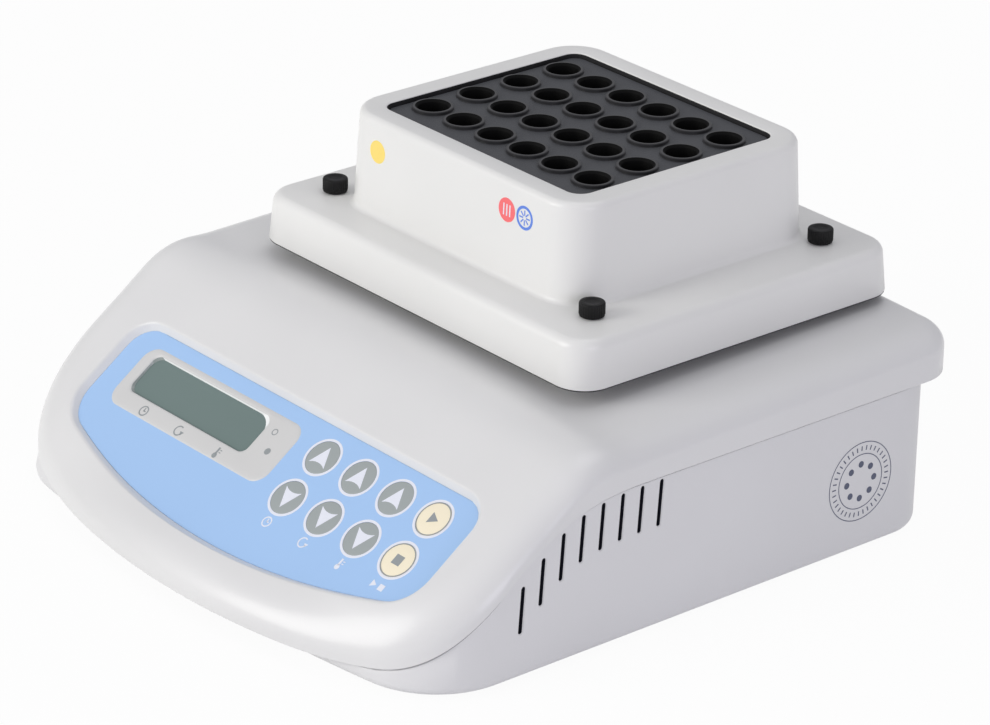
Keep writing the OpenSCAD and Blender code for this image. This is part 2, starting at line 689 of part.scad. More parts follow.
module chassis_plate() color([0.72, 0.73, 0.75]) difference() {
  y0 = motor_y - 25;
  y1 = block_y + 48;
  translate([0, (y0 + y1) / 2, 0]) slab(162, y1 - y0, 6, plate_z, drive_z);
  for (p = chassis_points()) translate(p) rod(3.4, plate_z - 1, drive_z + 1);
  on_block() rod(shaft_d + 2, plate_z - 1, drive_z + 1);
}
module chassis_screws() color([0.6, 0.6, 0.62]) {
  for (p = chassis_points()) translate(p) {
    rod(5.6, drive_z, drive_z + 2);
    rod(2.3, floor_z, drive_z);
  }
  for (p = board_points()) translate(p) {
    rod(5.6, plate_z + 1.6, plate_z + 3.6);
    rod(2.3, floor_z, plate_z + 1.6);
  }
}
module bearing_housing() color([0.78, 0.79, 0.80]) on_block() difference() {
  union() {
    rod(48, drive_z, drive_z + 3);
    rod(bearing_od + 5, drive_z, housing_top);
  }
  rod(bearing_od, drive_z - 1, drive_z + bearing_w);
  rod(bearing_od - 4, drive_z, housing_top);
  rod(bearing_od, brg_z2, housing_top + 1);
  for (a = [45:90:315]) rotate(a) translate([19, 0, 0]) rod(3.4, drive_z - 1, drive_z + 4);
}
// Ball bearing: two races and the shield between them, as one ring.
module bearing(z) difference() {
  ring(bearing_od, shaft_d + 2 * run_fit, z, z + bearing_w);
  for (s = [0, 1]) translate([0, 0, s * (bearing_w - 0.5)])
    ring(bearing_od - 4, shaft_d + 4, z - e, z + 0.5 + e);
}
module shaft_bearings() color([0.75, 0.76, 0.78]) on_block() {
  bearing(drive_z);
  bearing(brg_z2);
}
module drive_shaft() color([0.66, 0.67, 0.70]) on_block() {
  rod(shaft_d, plate_z + 0.5, pin_z);
  rod(shaft_d + 5, pin_z - 1.5, pin_z);
  translate([orbit_r, 0, 0]) rod(shaft_d, pin_z, ebrg_z + bearing_w + 0.5);
}
// Flanged pulley with a flat track for the belt.
module pulley(r, bore) rotate_extrude() polygon([
  [bore / 2, pulley_z], [r + 2, pulley_z], [r + 2, pulley_z + 0.8], [r, pulley_z + 1],
  [r, pulley_z + pulley_h - 1], [r + 2, pulley_z + pulley_h - 0.8], [r + 2, pulley_z + pulley_h],
  [bore / 2, pulley_z + pulley_h]]);
module shaft_pulley() color([0.82, 0.80, 0.74]) on_block() difference() {
  pulley(pulley_r, shaft_d);
  translate([0, 0, pulley_z + pulley_h - 1.5]) cylinder(d = shaft_d + 5, h = 2);
  for (a = [0:60:300]) rotate(a) translate([(pulley_r + shaft_d / 2) / 2 + 0.5, 0, 0])
    rod(5, pulley_z - 1, pulley_z + pulley_h + 1);
}
track_in = track_r - ball_d / 2 - 0.5;
track_out = track_r + ball_d / 2 + 0.5;
lid_z = web_z - ball_d - 4;
module balancer_ring() color([0.70, 0.71, 0.74]) on_block() difference() {
  rotate_extrude() polygon([[shaft_d / 2, web_z], [track_in - 2, web_z], [track_in - 2, lid_z + 1.5],
    [track_in, lid_z + 1.5], [track_in, web_z], [track_out, web_z], [track_out, lid_z + 1.5],
    [balancer_r, lid_z + 1.5], [balancer_r, web_z + 2], [shaft_d / 2 + 5, web_z + 2],
    [shaft_d / 2 + 5, pulley_z], [shaft_d / 2, pulley_z]]);
  for (a = [0:60:300]) rotate(a) translate([20, 0, 0]) rod(9, web_z - 1, web_z + 3);
}
module balancer_lid() color([0.62, 0.63, 0.66]) on_block()
  ring(2 * balancer_r, 2 * track_in - 4, lid_z, lid_z + 1.5);
module balancer_balls() color([0.80, 0.81, 0.83]) on_block()
  for (i = [0:ball_n - 1]) rotate(360 / ball_n * i) translate([track_r, 0, lid_z + 1.6 + ball_d / 2])
    sphere(d = ball_d);
module on_motor() translate([0, motor_y, 0]) children();
module motor_body() color([0.30, 0.31, 0.33]) on_motor() difference() {
  union() {
    rod(motor_d, drive_z, drive_z + motor_h - 1);
    rod(motor_d - 3, drive_z, drive_z + motor_h);
    rod(12, drive_z, drive_z + motor_h + 1.5);
  }
  rod(5 + 2 * run_fit, drive_z + 4, drive_z + motor_h + 3);
}
module motor_shaft() color([0.66, 0.67, 0.70]) on_motor() rod(5, drive_z + 5, pulley_z + pulley_h + 1);
module motor_pulley() color([0.82, 0.80, 0.74]) on_motor() pulley(pinion_r, 5);
module belt_loop(g) hull() {
  translate([0, block_y]) circle(r = pulley_r + g, $fn = 72);
  translate([0, motor_y]) circle(r = pinion_r + g, $fn = 48);
}
module drive_belt() color([0.10, 0.10, 0.10]) {
  z0 = pulley_z + (pulley_h - belt_w) / 2;
  translate([0, 0, z0]) linear_extrude(belt_w) difference() {
    belt_loop(0.3 + belt_t);
    belt_loop(0.3);
  }
}
crank_z = carrier_z - 13;                  // top of the pillars
module idler_pillars() color([0.78, 0.79, 0.80]) on_block() for (p = idlers) translate(p) difference() {
  union() {
    rod(14, drive_z, crank_z);
    rod(20, drive_z, drive_z + 3);
  }
  rod(6 + 2 * run_fit, drive_z + 2, crank_z + 1);
}
module idler_crank(i) color([0.66, 0.67, 0.70]) on_block() translate(idlers[i]) {
  rod(6, drive_z + 3, crank_z + 0.3);
  rod(12, crank_z + 0.3, crank_z + 4);
  translate([orbit_r, 0, 0]) {
    rod(8, crank_z + 4, carrier_z - 2.3);
    rod(5, carrier_z - 2.3, carrier_z + carrier_t);
  }
}

// ---------- platform ----------

// Everything here rides on the eccentric pin.
module on_orbit() translate([orbit_r, block_y, 0]) children();
module crank_bushes() color([0.80, 0.62, 0.35]) on_orbit() for (p = idlers) translate(p) {
  ring(8, 5 + 2 * run_fit + 0.1, carrier_z, carrier_z + carrier_t);
  ring(11, 5 + 2 * run_fit + 0.1, carrier_z - 2, carrier_z);
}
module eccentric_bearing() color([0.75, 0.76, 0.78]) on_orbit() bearing(ebrg_z);
module carrier_plate() color([0.76, 0.77, 0.79]) on_orbit() difference() {
  union() {
    slab(carrier_w, carrier_d, 8, carrier_z, carrier_z + carrier_t);
    rod(bearing_od + 8, ebrg_z - 0.2, carrier_z + carrier_t + 1);
  }
  rod(bearing_od, ebrg_z - 1, ebrg_z + bearing_w);
  rod(bearing_od - 4, ebrg_z, carrier_z + carrier_t + 2);
  for (p = idlers) translate(p) rod(8, carrier_z - 1, carrier_z + carrier_t + 1);
  for (p = post_points()) translate(p) rod(3.2, carrier_z - 1, carrier_z + carrier_t + 1);
  for (x = [-34, 34], y = [-24, 24]) translate([x, y, 0]) slab(30, 22, 6, carrier_z - 1, carrier_z + carrier_t + 1);
}
function post_points() = [for (s = screws) [s[0] * (carrier_w / 2 - 4.4), s[1] * (carrier_d / 2 - 4.4), 0]];
module platform_posts() color([0.70, 0.71, 0.73]) on_orbit() for (p = post_points()) translate(p)
  ring(8, 3, carrier_z + carrier_t, plat_z);
module platform_plate() color([0.78, 0.79, 0.80]) on_orbit() difference() {
  slab(plat_w, plat_d, 8, plat_z, plat_top);
  slab(heat_w() + 8, heat_d() + 8, 4, plat_z - 1, plat_top + 1);
  for (p = post_points()) translate(p) {
    rod(3.2, plat_z - 1, plat_top + 1);
    rod(6, plat_top - 3, plat_top + 1);
  }
  for (s = screws) translate([s[0] * screw_px / 2, s[1] * screw_py / 2, 0])
    rod(shank_d + 0.2, plat_z - 1, plat_top + 1);
}
function heat_w() = 2 * tec_w + 14;
function heat_d() = tec_w + 30;
module platform_screws() color([0.6, 0.6, 0.62]) on_orbit() for (p = post_points()) translate(p) {
  rod(5.5, plat_top - 2.9, plat_top - 0.6);
  rod(2.9, plat_z - 10, plat_top - 2.9);
  rod(5.5, carrier_z - 2.2, carrier_z);
  rod(2.9, carrier_z, carrier_z + carrier_t + 10);
}
module heatsink() color([0.20, 0.20, 0.21]) on_orbit() {
  slab(sink_w, sink_d, 2, plat_z - sink_t, plat_z);
  gap = (sink_w - fin_t) / (fin_n - 1);
  for (i = [0:fin_n - 1]) translate([-sink_w / 2 + gap * i, -sink_d / 2 + 2, plat_z - sink_t - fin_h])
    cube([fin_t, sink_d - 4, fin_h + 0.5]);
}
module thermoelectric_modules() color([0.92, 0.92, 0.90]) on_orbit() for (s = [-1, 1])
  translate([s * (tec_w / 2 + 2), 0, 0]) slab(tec_w, tec_w, 1, tec_z, heat_z);
module heat_plate() color([0.82, 0.83, 0.84]) on_orbit() slab(heat_w(), heat_d(), 3, heat_z, block_z);
module heat_insulation() color([0.25, 0.25, 0.26]) on_orbit() difference() {
  slab(heat_w() + 7, heat_d() + 7, 4, plat_z, plat_top);
  slab(heat_w() + 0.6, heat_d() + 0.6, 3, heat_z - 0.2, plat_top + 1);
  for (s = [-1, 1]) translate([s * (tec_w / 2 + 2), 0, 0]) slab(tec_w + 0.6, tec_w + 0.6, 1, plat_z - 1, heat_z);
}

// ---------- block ----------

module wells() for (i = [0:well_nx - 1], j = [0:well_ny - 1])
  translate([(i - (well_nx - 1) / 2) * well_px, (j - (well_ny - 1) / 2) * well_py, 0]) children();
module tube_block() color([0.20, 0.20, 0.21]) on_orbit() difference() {
  union() {
    slab(block_w, block_d, 5, block_z, well_z - ring_h);
    wells() rod(ring_d, well_z - ring_h - 1, well_z);
  }
  // Straight bore and the tapering foot that a microtube rests in.
  wells() rotate_extrude() polygon([[0, well_z - well_deep], [1.8, well_z - well_deep],
    [well_d / 2, well_z - well_straight], [well_d / 2, well_z - 0.5], [well_d / 2 + 0.5, well_z],
    [well_d / 2 + 0.5, well_z + 1], [0, well_z + 1]]);
}
tower_in = 2.4;
// Rings of the block cover: a plan rectangle at a height.
function cover_rect(w, d, r, z) = at_z(round_rect(w, d, r), z);
module block_cover() color([0.90, 0.91, 0.89]) on_orbit() difference() {
  union() {
    ft = flange_z + flange_h;
    fw = flange_w - 2 * flange_draft;
    fd = flange_d - 2 * flange_draft;
    tw = tower_w + 2 * tower_draft;
    td = tower_d + 2 * tower_draft;
    ow = block_w + 2 * block_gap;
    od = block_d + 2 * block_gap;
    ring_loft(concat(
      // Inside, from the opening's lip down to the foot.
      [cover_rect(ow, od, 5.4, rim_z - 5),
       cover_rect(ow + 3, od + 3, 6.5, rim_z - 5),
       cover_rect(ow + 3, od + 3, 6.5, rim_z - 2.5),
       cover_rect(tower_w - 5, tower_d - 5, tower_r - 2.5, rim_z - 2.5),
       cover_rect(tw - 5, td - 5, tower_r - 2.5, ft - 2.5),
       cover_rect(fw - 5, fd - 5, flange_r - 2.5, ft - 2.5),
       cover_rect(flange_w - 5, flange_d - 5, flange_r - 2.5, flange_z),
       cover_rect(flange_w, flange_d, flange_r, flange_z)],
      // Flange: a rounded top edge of 3 mm.
      [for (a = [0:30:90]) let (i = 3 * (1 - cos(a)))
        cover_rect(fw - 2 * i, fd - 2 * i, flange_r - i, ft - 3 + 3 * sin(a))],
      // Hollow fillet of 2 mm at the tower's foot.
      [for (a = [0:30:90]) let (i = 2 * (1 - sin(a)))
        cover_rect(tw + 2 * i, td + 2 * i, tower_r + i, ft + 2 * (1 - cos(a)))],
      // Rim: a rounded edge of 2 mm.
      [for (a = [0:30:90]) let (i = 2 * (1 - cos(a)))
        cover_rect(tower_w - 2 * i, tower_d - 2 * i, tower_r - i, rim_z - 2 + 2 * sin(a))],
      [cover_rect(ow + 1, od + 1, 5.9, rim_z), cover_rect(ow, od, 5.4, rim_z - 0.5)]));
    for (s = screws) translate([s[0] * screw_px / 2, s[1] * screw_py / 2, 0])
      rod(10, flange_z, flange_z + flange_h - 1);
  }
  for (s = screws) translate([s[0] * screw_px / 2, s[1] * screw_py / 2, 0])
    rod(shank_d + 0.6, flange_z - 1, flange_z + flange_h + 1);
}
module block_insulation() color([0.25, 0.25, 0.26]) on_orbit() difference() {
  slab(tower_w - 5.6, tower_d - 5.6, tower_r - 3, block_z, rim_z - 5.4);
  slab(block_w + 0.6, block_d + 0.6, 5, block_z - 1, rim_z);
}
module thumbscrew(i) color([0.10, 0.10, 0.10]) on_orbit()
  translate([screws[i][0] * screw_px / 2, screws[i][1] * screw_py / 2, 0]) {
    ft = flange_z + flange_h + 0.3;
    rod(shank_d, plat_z + 3.5, ft + 1);
    difference() {
      rotate_extrude() polygon([[0, ft], [knob_d / 2 - 0.5, ft], [knob_d / 2 - 0.5, ft + 0.6], [knob_d / 2, ft + 1],
        [knob_d / 2, ft + knob_h - 0.7], [knob_d / 2 - 0.7, ft + knob_h], [0, ft + knob_h]]);
      rod(3, ft + knob_h - 0.8, ft + knob_h + 1);
    }
  }

// ---------- nodes ----------

base_housing();
top_cover();
rubber_feet();
cover_screws();
keypad_overlay();
display_frame();
display_window();
display_module();
control_board();
key_switches();
main_board();
power_inlet();
power_switch_body();
power_rocker();
fan_frame();
fan_rotor();
chassis_plate();
chassis_screws();
bearing_housing();
shaft_bearings();
motor_body();
motor_shaft();
motor_pulley();
drive_belt();
drive_shaft();
shaft_pulley();
balancer_ring();
balancer_balls();
balancer_lid();
idler_pillars();
idler_crank(0);  // idler_crank_1
idler_crank(1);  // idler_crank_2
idler_crank(2);  // idler_crank_3
crank_bushes();
eccentric_bearing();
carrier_plate();
platform_posts();
platform_plate();
platform_screws();
heatsink();
thermoelectric_modules();
heat_plate();
heat_insulation();
tube_block();
block_cover();
block_insulation();
thumbscrew(0);  // thumbscrew_1
thumbscrew(1);  // thumbscrew_2
thumbscrew(2);  // thumbscrew_3
thumbscrew(3);  // thumbscrew_4
key(0);  // key_1
key(1);  // key_2
key(2);  // key_3
key(3);  // key_4
key(4);  // key_5
key(5);  // key_6
key(6);  // key_7
key(7);  // key_8
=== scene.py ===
import math
from bisect import bisect

import bpy
from mathutils import Matrix, Vector


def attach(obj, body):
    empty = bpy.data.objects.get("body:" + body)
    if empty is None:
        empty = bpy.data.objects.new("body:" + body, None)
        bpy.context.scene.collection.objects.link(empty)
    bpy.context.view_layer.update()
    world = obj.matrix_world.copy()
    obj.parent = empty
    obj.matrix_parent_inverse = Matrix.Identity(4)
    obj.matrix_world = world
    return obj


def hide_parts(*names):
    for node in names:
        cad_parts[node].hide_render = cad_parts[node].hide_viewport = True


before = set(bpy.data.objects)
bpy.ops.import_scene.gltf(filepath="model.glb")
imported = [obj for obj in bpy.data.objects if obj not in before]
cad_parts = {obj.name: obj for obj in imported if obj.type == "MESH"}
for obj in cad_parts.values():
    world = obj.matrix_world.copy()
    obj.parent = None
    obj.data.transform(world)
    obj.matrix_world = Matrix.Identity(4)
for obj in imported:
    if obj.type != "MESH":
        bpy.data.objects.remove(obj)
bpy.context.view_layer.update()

# ---------------------------------------------------------------- studio
# A pale floor, one large soft lamp at the front left, a weaker one at the right and one
# overhead. The camera stands off the front right corner and looks down on the mixer.

MM = 0.001


def linear(rgb):
    """0-255 screen colour as the linear colour that a shader takes."""
    return (*((c / 255 / 12.92) if c <= 10 else ((c / 255 + 0.055) / 1.055) ** 2.4 for c in rgb), 1.0)


def finish_of(name, rgb, roughness, **sockets):
    """A material whose one shader carries these plain numbers."""
    mat = bpy.data.materials.new(name)
    mat.use_nodes = True
    shader = mat.node_tree.nodes["Principled BSDF"]
    shader.inputs["Base Color"].default_value = linear(rgb)
    shader.inputs["Roughness"].default_value = roughness
    for socket, value in sockets.items():
        shader.inputs[socket.replace("_", " ")].default_value = value
    return mat


def camera_white(mat, share):
    """Blends a white glow into what the camera, mirrors and glass see of a material."""
    nodes, links = mat.node_tree.nodes, mat.node_tree.links
    path = nodes.new("ShaderNodeLightPath")
    seen = nodes.new("ShaderNodeMath")
    seen.operation = "MAXIMUM"
    links.new(path.outputs["Is Camera Ray"], seen.inputs[0])
    links.new(path.outputs["Is Glossy Ray"], seen.inputs[1])
    also = nodes.new("ShaderNodeMath")
    also.operation = "MAXIMUM"
    links.new(seen.outputs[0], also.inputs[0])
    links.new(path.outputs["Is Transmission Ray"], also.inputs[1])
    part = nodes.new("ShaderNodeMath")
    part.operation = "MULTIPLY"
    part.inputs[1].default_value = share
    links.new(also.outputs[0], part.inputs[0])
    glow = nodes.new("ShaderNodeEmission")
    blend = nodes.new("ShaderNodeMixShader")
    links.new(part.outputs[0], blend.inputs[0])
    links.new(nodes["Principled BSDF"].outputs[0], blend.inputs[1])
    links.new(glow.outputs[0], blend.inputs[2])
    links.new(blend.outputs[0], nodes["Material Output"].inputs["Surface"])


bpy.ops.object.select_all(action="DESELECT")
bpy.ops.mesh.primitive_plane_add(size=14)
floor = bpy.context.object
floor.name = "studio_floor"
paper = finish_of("studio_paper", (238, 238, 238), 0.9)
camera_white(paper, 0.95)
floor.data.materials.append(paper)

world = bpy.data.worlds.new("studio_world")
bpy.context.scene.world = world
world.use_nodes = True
sky = world.node_tree
sky.nodes["Background"].inputs["Color"].default_value = (0.95, 0.95, 1.0, 1)
sky.nodes["Background"].inputs["Strength"].default_value = 0.48
backdrop = sky.nodes.new("ShaderNodeBackground")
backdrop.inputs["Color"].default_value = (1, 1, 1, 1)
eye = sky.nodes.new("ShaderNodeLightPath")
swap = sky.nodes.new("ShaderNodeMixShader")
sky.links.new(eye.outputs["Is Camera Ray"], swap.inputs[0])
sky.links.new(sky.nodes["Background"].outputs[0], swap.inputs[1])
sky.links.new(backdrop.outputs[0], swap.inputs[2])
sky.links.new(swap.outputs[0], sky.nodes["World Output"].inputs["Surface"])


def soft_lamp(name, place, aim, size, watts, tint=(1, 1, 1)):
    data = bpy.data.lights.new(name, "AREA")
    data.shape, data.size, data.energy, data.color = "DISK", size, watts, tint
    lamp = bpy.data.objects.new(name, data)
    bpy.context.scene.collection.objects.link(lamp)
    lamp.location = place
    lamp.rotation_euler = (Vector(aim) - Vector(place)).to_track_quat("-Z", "Y").to_euler()


soft_lamp("lamp_front", (-0.75, -1.95, 0.80), (0, 0, 0.06), 1.3, 24.0, (1.0, 0.988, 0.95))
soft_lamp("lamp_right", (1.85, -0.45, 0.50), (0, 0, 0.06), 0.9, 7.4, (0.92, 0.89, 1.0))
soft_lamp("lamp_top", (-0.1, 0.5, 2.0), (0, 0.02, 0.06), 1.2, 5.4)

CAMERA_PLACE, CAMERA_LENS = (1.0882, -0.90594, 0.69116), 162.73
CAMERA_TURN, CAMERA_DOWN, CAMERA_ROLL = 49.70, 24.28, 1.09
camera = bpy.data.objects.new("camera", bpy.data.cameras.new("camera"))
bpy.context.scene.collection.objects.link(camera)
camera.data.lens, camera.data.sensor_width = CAMERA_LENS, 36
camera.data.sensor_fit = "HORIZONTAL"
camera.matrix_world = (Matrix.Translation(CAMERA_PLACE)
                       @ Matrix.Rotation(math.radians(CAMERA_TURN), 4, "Z")
                       @ Matrix.Rotation(math.radians(90 - CAMERA_DOWN), 4, "X")
                       @ Matrix.Rotation(math.radians(CAMERA_ROLL), 4, "Z"))
bpy.context.scene.camera = camera
bpy.context.scene.view_settings.view_transform = "Standard"


# ---------------------------------------------------------------- top cover
# The upper moulding: one thick ABS shell with a soft rounded edge, a level deck and a sloping
# face. The control panel lies in a shallow tray in that face, and the deck has a hole under
# the block for the platform. The plastic has a fine spark-eroded grain.

BODY_W, FRONT, REAR = 239, -126.5, 126.5
LIP_BOW, LIP_CORNER, REAR_CORNER = 290, 38, 15.5
EDGE_W, EDGE_H, EDGE_REAR_H, EDGE_STEPS, REAR_DRAW = 13.5, 11.5, 7, 27, 0.45
DECK_Z, DECK_RISE, CROWN, NOSE_Z = 72.4, math.tan(math.radians(1.1)), 2.4, 17.5
PANEL_Y, PANEL_Z, TILT = -48.5, 63.5, math.radians(35.5)
LEDGE, LEDGE_W = 2.5, 1.9
FILM_W, FILM_TOP, FILM_LOW, FILM_BOW, FILM_R, FILM_LOW_R = 191, 20.4, 77.5, 283, 10, 14
PART_REAR, PART_FRONT, FALL_FROM, FALL_TO, FALL_POWER = 57, 5, -15, -122, 1.45
COVER_WALL, TRAY_GAP, TRAY_DEEP = 2.4, 0.08, 1.04
HOLE_W, HOLE_D, HOLE_R, BLOCK_Y = 156, 124, 10, 51.5
HOUSING = (226, 226, 226)


def arc(cx, cy, r, a0, a1, n):
    """Points on an arc, in degrees."""
    turn = [math.radians(a0 + (a1 - a0) * i / n) for i in range(n + 1)]
    return [(cx + r * math.cos(a), cy + r * math.sin(a)) for a in turn]


def body_outline(half_w, y_front, y_rear, bow, corner, rear_corner, inset):
    """Plan of a housing part: bowed front, front corners, straight sides, rear corners."""
    cy, cx = y_front + bow, half_w - corner
    cc = cy - math.sqrt((bow - corner) ** 2 - cx * cx)
    a_in = math.degrees(math.atan2(cc - cy, cx))
    right = (arc(0, cy, bow - inset, -90, a_in, 40)
             + arc(cx, cc, corner - inset, a_in, 0, 24)[1:]
             + arc(half_w - rear_corner, y_rear - rear_corner, rear_corner - inset, 0, 90, 20))
    return right + [(-x, y) for x, y in reversed(right[1:])]


def cover_outline(inset, rear=REAR):
    """Plan of the cover, drawn in by so much."""
    return body_outline(BODY_W / 2, FRONT, rear, LIP_BOW, LIP_CORNER, REAR_CORNER, inset)


def part_at(y):
    """Height of the parting line between cover and base."""
    t = min(1, max(0, (FALL_FROM - y) / (FALL_FROM - FALL_TO)))
    return PART_REAR - (PART_REAR - PART_FRONT) * (1 - math.cos(math.pi * t ** FALL_POWER)) / 2


def smooth_min(a, b, k):
    h = max(k - abs(a - b), 0) / k
    return min(a, b) - h * h * k / 4


def skin_at(x, y):
    """Height of the cover's outside before its edge is rounded."""
    bend = PANEL_Y + (DECK_Z - PANEL_Z - LEDGE / math.cos(TILT)) / math.tan(TILT)
    deck = DECK_Z + (y - bend) * DECK_RISE
    slope = PANEL_Z + (y - PANEL_Y) * math.tan(TILT) + LEDGE / math.cos(TILT)
    nose = NOSE_Z + (y - FRONT) * 0.2
    crest = -smooth_min(-smooth_min(deck, slope, 7), -nose, 2.5)
    fade = min(1, max(0, (y - PANEL_Y) / 30))
    return crest - CROWN * (x / (BODY_W / 2)) ** 2 * fade * fade * (3 - 2 * fade)


def film_outline(grow):
    """Plan of the control film in its own plane, (across, up the slope); its left end is short."""
    cy, cx = FILM_BOW - FILM_LOW, FILM_W / 2 - FILM_LOW_R
    cc = cy - math.sqrt((FILM_BOW - FILM_LOW_R) ** 2 - cx * cx)
    a_in = math.degrees(math.atan2(cc - cy, cx))
    right = (arc(0, cy, FILM_BOW + grow, -90, a_in, 60)
             + arc(cx, cc, FILM_LOW_R + grow, a_in, 0, 24)[1:]
             + arc(FILM_W / 2 - FILM_R, -FILM_TOP - FILM_R, FILM_R + grow, 0, 90, 20))
    left = [(-x, y, min(1, max(0, (x - 40) / 50))) for x, y in reversed(right[1:])]
    return right + [(x + 1.8 * w * w * (3 - 2 * w), y) for x, y, w in left]


def on_slope(u, s, h=0.0):
    """A point of the panel, u across, s up the slope and h out of it, as (x, y, z)."""
    return (u, PANEL_Y + s * math.cos(TILT) - h * math.sin(TILT),
            PANEL_Z + s * math.sin(TILT) + h * math.cos(TILT))


HUB = (0, -88)


def rays_on(outline, angles):
    """Where rays from the hub at these angles cross a closed outline round it."""
    marks = sorted((math.atan2(y - HUB[1], x - HUB[0]), x, y) for x, y in outline)
    first, last = marks[0], marks[-1]
    marks = [(last[0] - math.tau,) + last[1:]] + marks + [(first[0] + math.tau,) + first[1:]]
    points, k = [], 0
    for a in angles:
        while marks[k + 1][0] < a:
            k += 1
        (_, ax, ay), (_, bx, by) = marks[k], marks[k + 1]
        dx, dy, ex, ey = math.cos(a), math.sin(a), bx - ax, by - ay
        t = ((ax - HUB[0]) * ey - (ay - HUB[1]) * ex) / (dx * ey - dy * ex)
        points.append((HUB[0] + t * dx, HUB[1] + t * dy))
    return points


def spread_angles(outline, count):
    """Ray angles that cut an outline into nearly equal lengths."""
    ring = sorted(outline, key=lambda p: math.atan2(p[1] - HUB[1], p[0] - HUB[0]))
    ring.append(ring[0])
    reach = [0]
    for a, b in zip(ring, ring[1:]):
        reach.append(reach[-1] + math.dist(a, b))
    angles, k = [], 0
    for i in range(count):
        at = reach[-1] * i / count
        while reach[k + 1] < at:
            k += 1
        share = (at - reach[k]) / (reach[k + 1] - reach[k])
        x = ring[k][0] + share * (ring[k + 1][0] - ring[k][0])
        y = ring[k][1] + share * (ring[k + 1][1] - ring[k][1])
        angles.append(math.atan2(y - HUB[1], x - HUB[0]))
    return sorted(angles)


def piece_from(name, points, faces):
    """A mesh object from points in millimetres."""
    mesh = bpy.data.meshes.new(name)
    mesh.from_pydata([(x * MM, y * MM, z * MM) for x, y, z in points], [], faces)
    piece = bpy.data.objects.new(name, mesh)
    bpy.context.scene.collection.objects.link(piece)
    return piece


def loft(name, rings, close=False, low_cap=False, high_cap=False):
    """Skin through equal rings of points; the caps are flat many-sided faces."""
    n, points = len(rings[0]), [p for ring in rings for p in ring]
    pairs = [(k, k + 1) for k in range(len(rings) - 1)] + ([(len(rings) - 1, 0)] if close else [])
    faces = [(a * n + i, a * n + (i + 1) % n, b * n + (i + 1) % n, b * n + i)
             for a, b in pairs for i in range(n)]
    if low_cap:
        faces.append(tuple(range(n - 1, -1, -1)))
    if high_cap:
        faces.append(tuple(range((len(rings) - 1) * n, len(rings) * n)))
    return piece_from(name, points, faces)


def solid(name, rings):
    """A closed piece: a loft with both of its ends capped."""
    return loft(name, rings, low_cap=True, high_cap=True)


def pick(piece):
    """Makes a piece the only selected and the active one."""
    bpy.ops.object.select_all(action="DESELECT")
    piece.select_set(True)
    bpy.context.view_layer.objects.active = piece


def apply_modifier(piece, kind, **values):
    pick(piece)
    mod = piece.modifiers.new(kind.lower(), kind)
    for key, value in values.items():
        setattr(mod, key, value)
    bpy.ops.object.modifier_apply(modifier=mod.name)


def cut(piece, *tools):
    """Takes the tools' shapes out of a piece and deletes them."""
    for tool in tools:
        apply_modifier(piece, "BOOLEAN", operation="DIFFERENCE", solver="EXACT", object=tool)
        bpy.data.objects.remove(tool)


def smooth(piece, angle=35):
    pick(piece)
    bpy.ops.object.shade_smooth_by_angle(angle=math.radians(angle))


def face_outwards(piece):
    pick(piece)
    bpy.ops.object.mode_set(mode="EDIT")
    bpy.ops.mesh.select_all(action="SELECT")
    bpy.ops.mesh.remove_doubles(threshold=1e-6)
    bpy.ops.mesh.normals_make_consistent(inside=False)
    bpy.ops.object.mode_set(mode="OBJECT")


def round_rect(w, d, r, z, n=10, cx=0.0, cy=0.0, far=None):
    """Ring of a rounded rectangle at one height; far is the radius of its far right corner."""
    far = far or r
    plan = (arc(w / 2 - r, -d / 2 + r, r, -90, 0, n) + arc(w / 2 - far, d / 2 - far, far, 0, 90, n)
            + arc(-w / 2 + r, d / 2 - r, r, 90, 180, n) + arc(-w / 2 + r, -d / 2 + r, r, 180, 270, n))
    return [(cx + x, cy + y, z) for x, y in plan]


def moulded(name, rgb, roughness, grain=0.05, scale=1300, drift=0.03, **sockets):
    """Injection-moulded plastic: fine grain in the surface, a slow drift in tone and gloss."""
    mat = finish_of(name, rgb, roughness, **sockets)
    nodes, links = mat.node_tree.nodes, mat.node_tree.links
    shader = nodes["Principled BSDF"]
    place = nodes.new("ShaderNodeTexCoord")
    fine = nodes.new("ShaderNodeTexNoise")
    fine.inputs["Scale"].default_value = scale
    fine.inputs["Detail"].default_value = 3
    bump = nodes.new("ShaderNodeBump")
    bump.inputs["Strength"].default_value = grain
    bump.inputs["Distance"].default_value = 0.0004
    slow = nodes.new("ShaderNodeTexNoise")
    slow.inputs["Scale"].default_value = 14
    slow.inputs["Detail"].default_value = 2
    tone = nodes.new("ShaderNodeMix")
    tone.data_type = "RGBA"
    tone.inputs["A"].default_value = linear([c * (1 - drift) for c in rgb])
    tone.inputs["B"].default_value = linear([min(255, c * (1 + drift * 0.4)) for c in rgb])
    gloss = nodes.new("ShaderNodeMapRange")
    gloss.inputs["To Min"].default_value = roughness - 0.05
    gloss.inputs["To Max"].default_value = roughness + 0.05
    links.new(place.outputs["Object"], fine.inputs["Vector"])
    links.new(place.outputs["Object"], slow.inputs["Vector"])
    links.new(fine.outputs["Fac"], bump.inputs["Height"])
    links.new(bump.outputs["Normal"], shader.inputs["Normal"])
    links.new(slow.outputs["Fac"], tone.inputs["Factor"])
    links.new(tone.outputs["Result"], shader.inputs["Base Color"])
    links.new(slow.outputs["Fac"], gloss.inputs["Value"])
    links.new(gloss.outputs["Result"], shader.inputs["Roughness"])
    return mat


cover_plastic = moulded("cover_plastic", HOUSING, 0.36, Coat_Weight=0.2, Coat_Roughness=0.15)

edge = cover_outline(0)
angles = spread_angles(edge, 400)


def edge_deep(y):
    """Height of the rounded edge: full on the lip in front, lower along the deck."""
    return EDGE_REAR_H + (EDGE_H - EDGE_REAR_H) * min(1, max(0, (PANEL_Y + 30 - y) / 60))


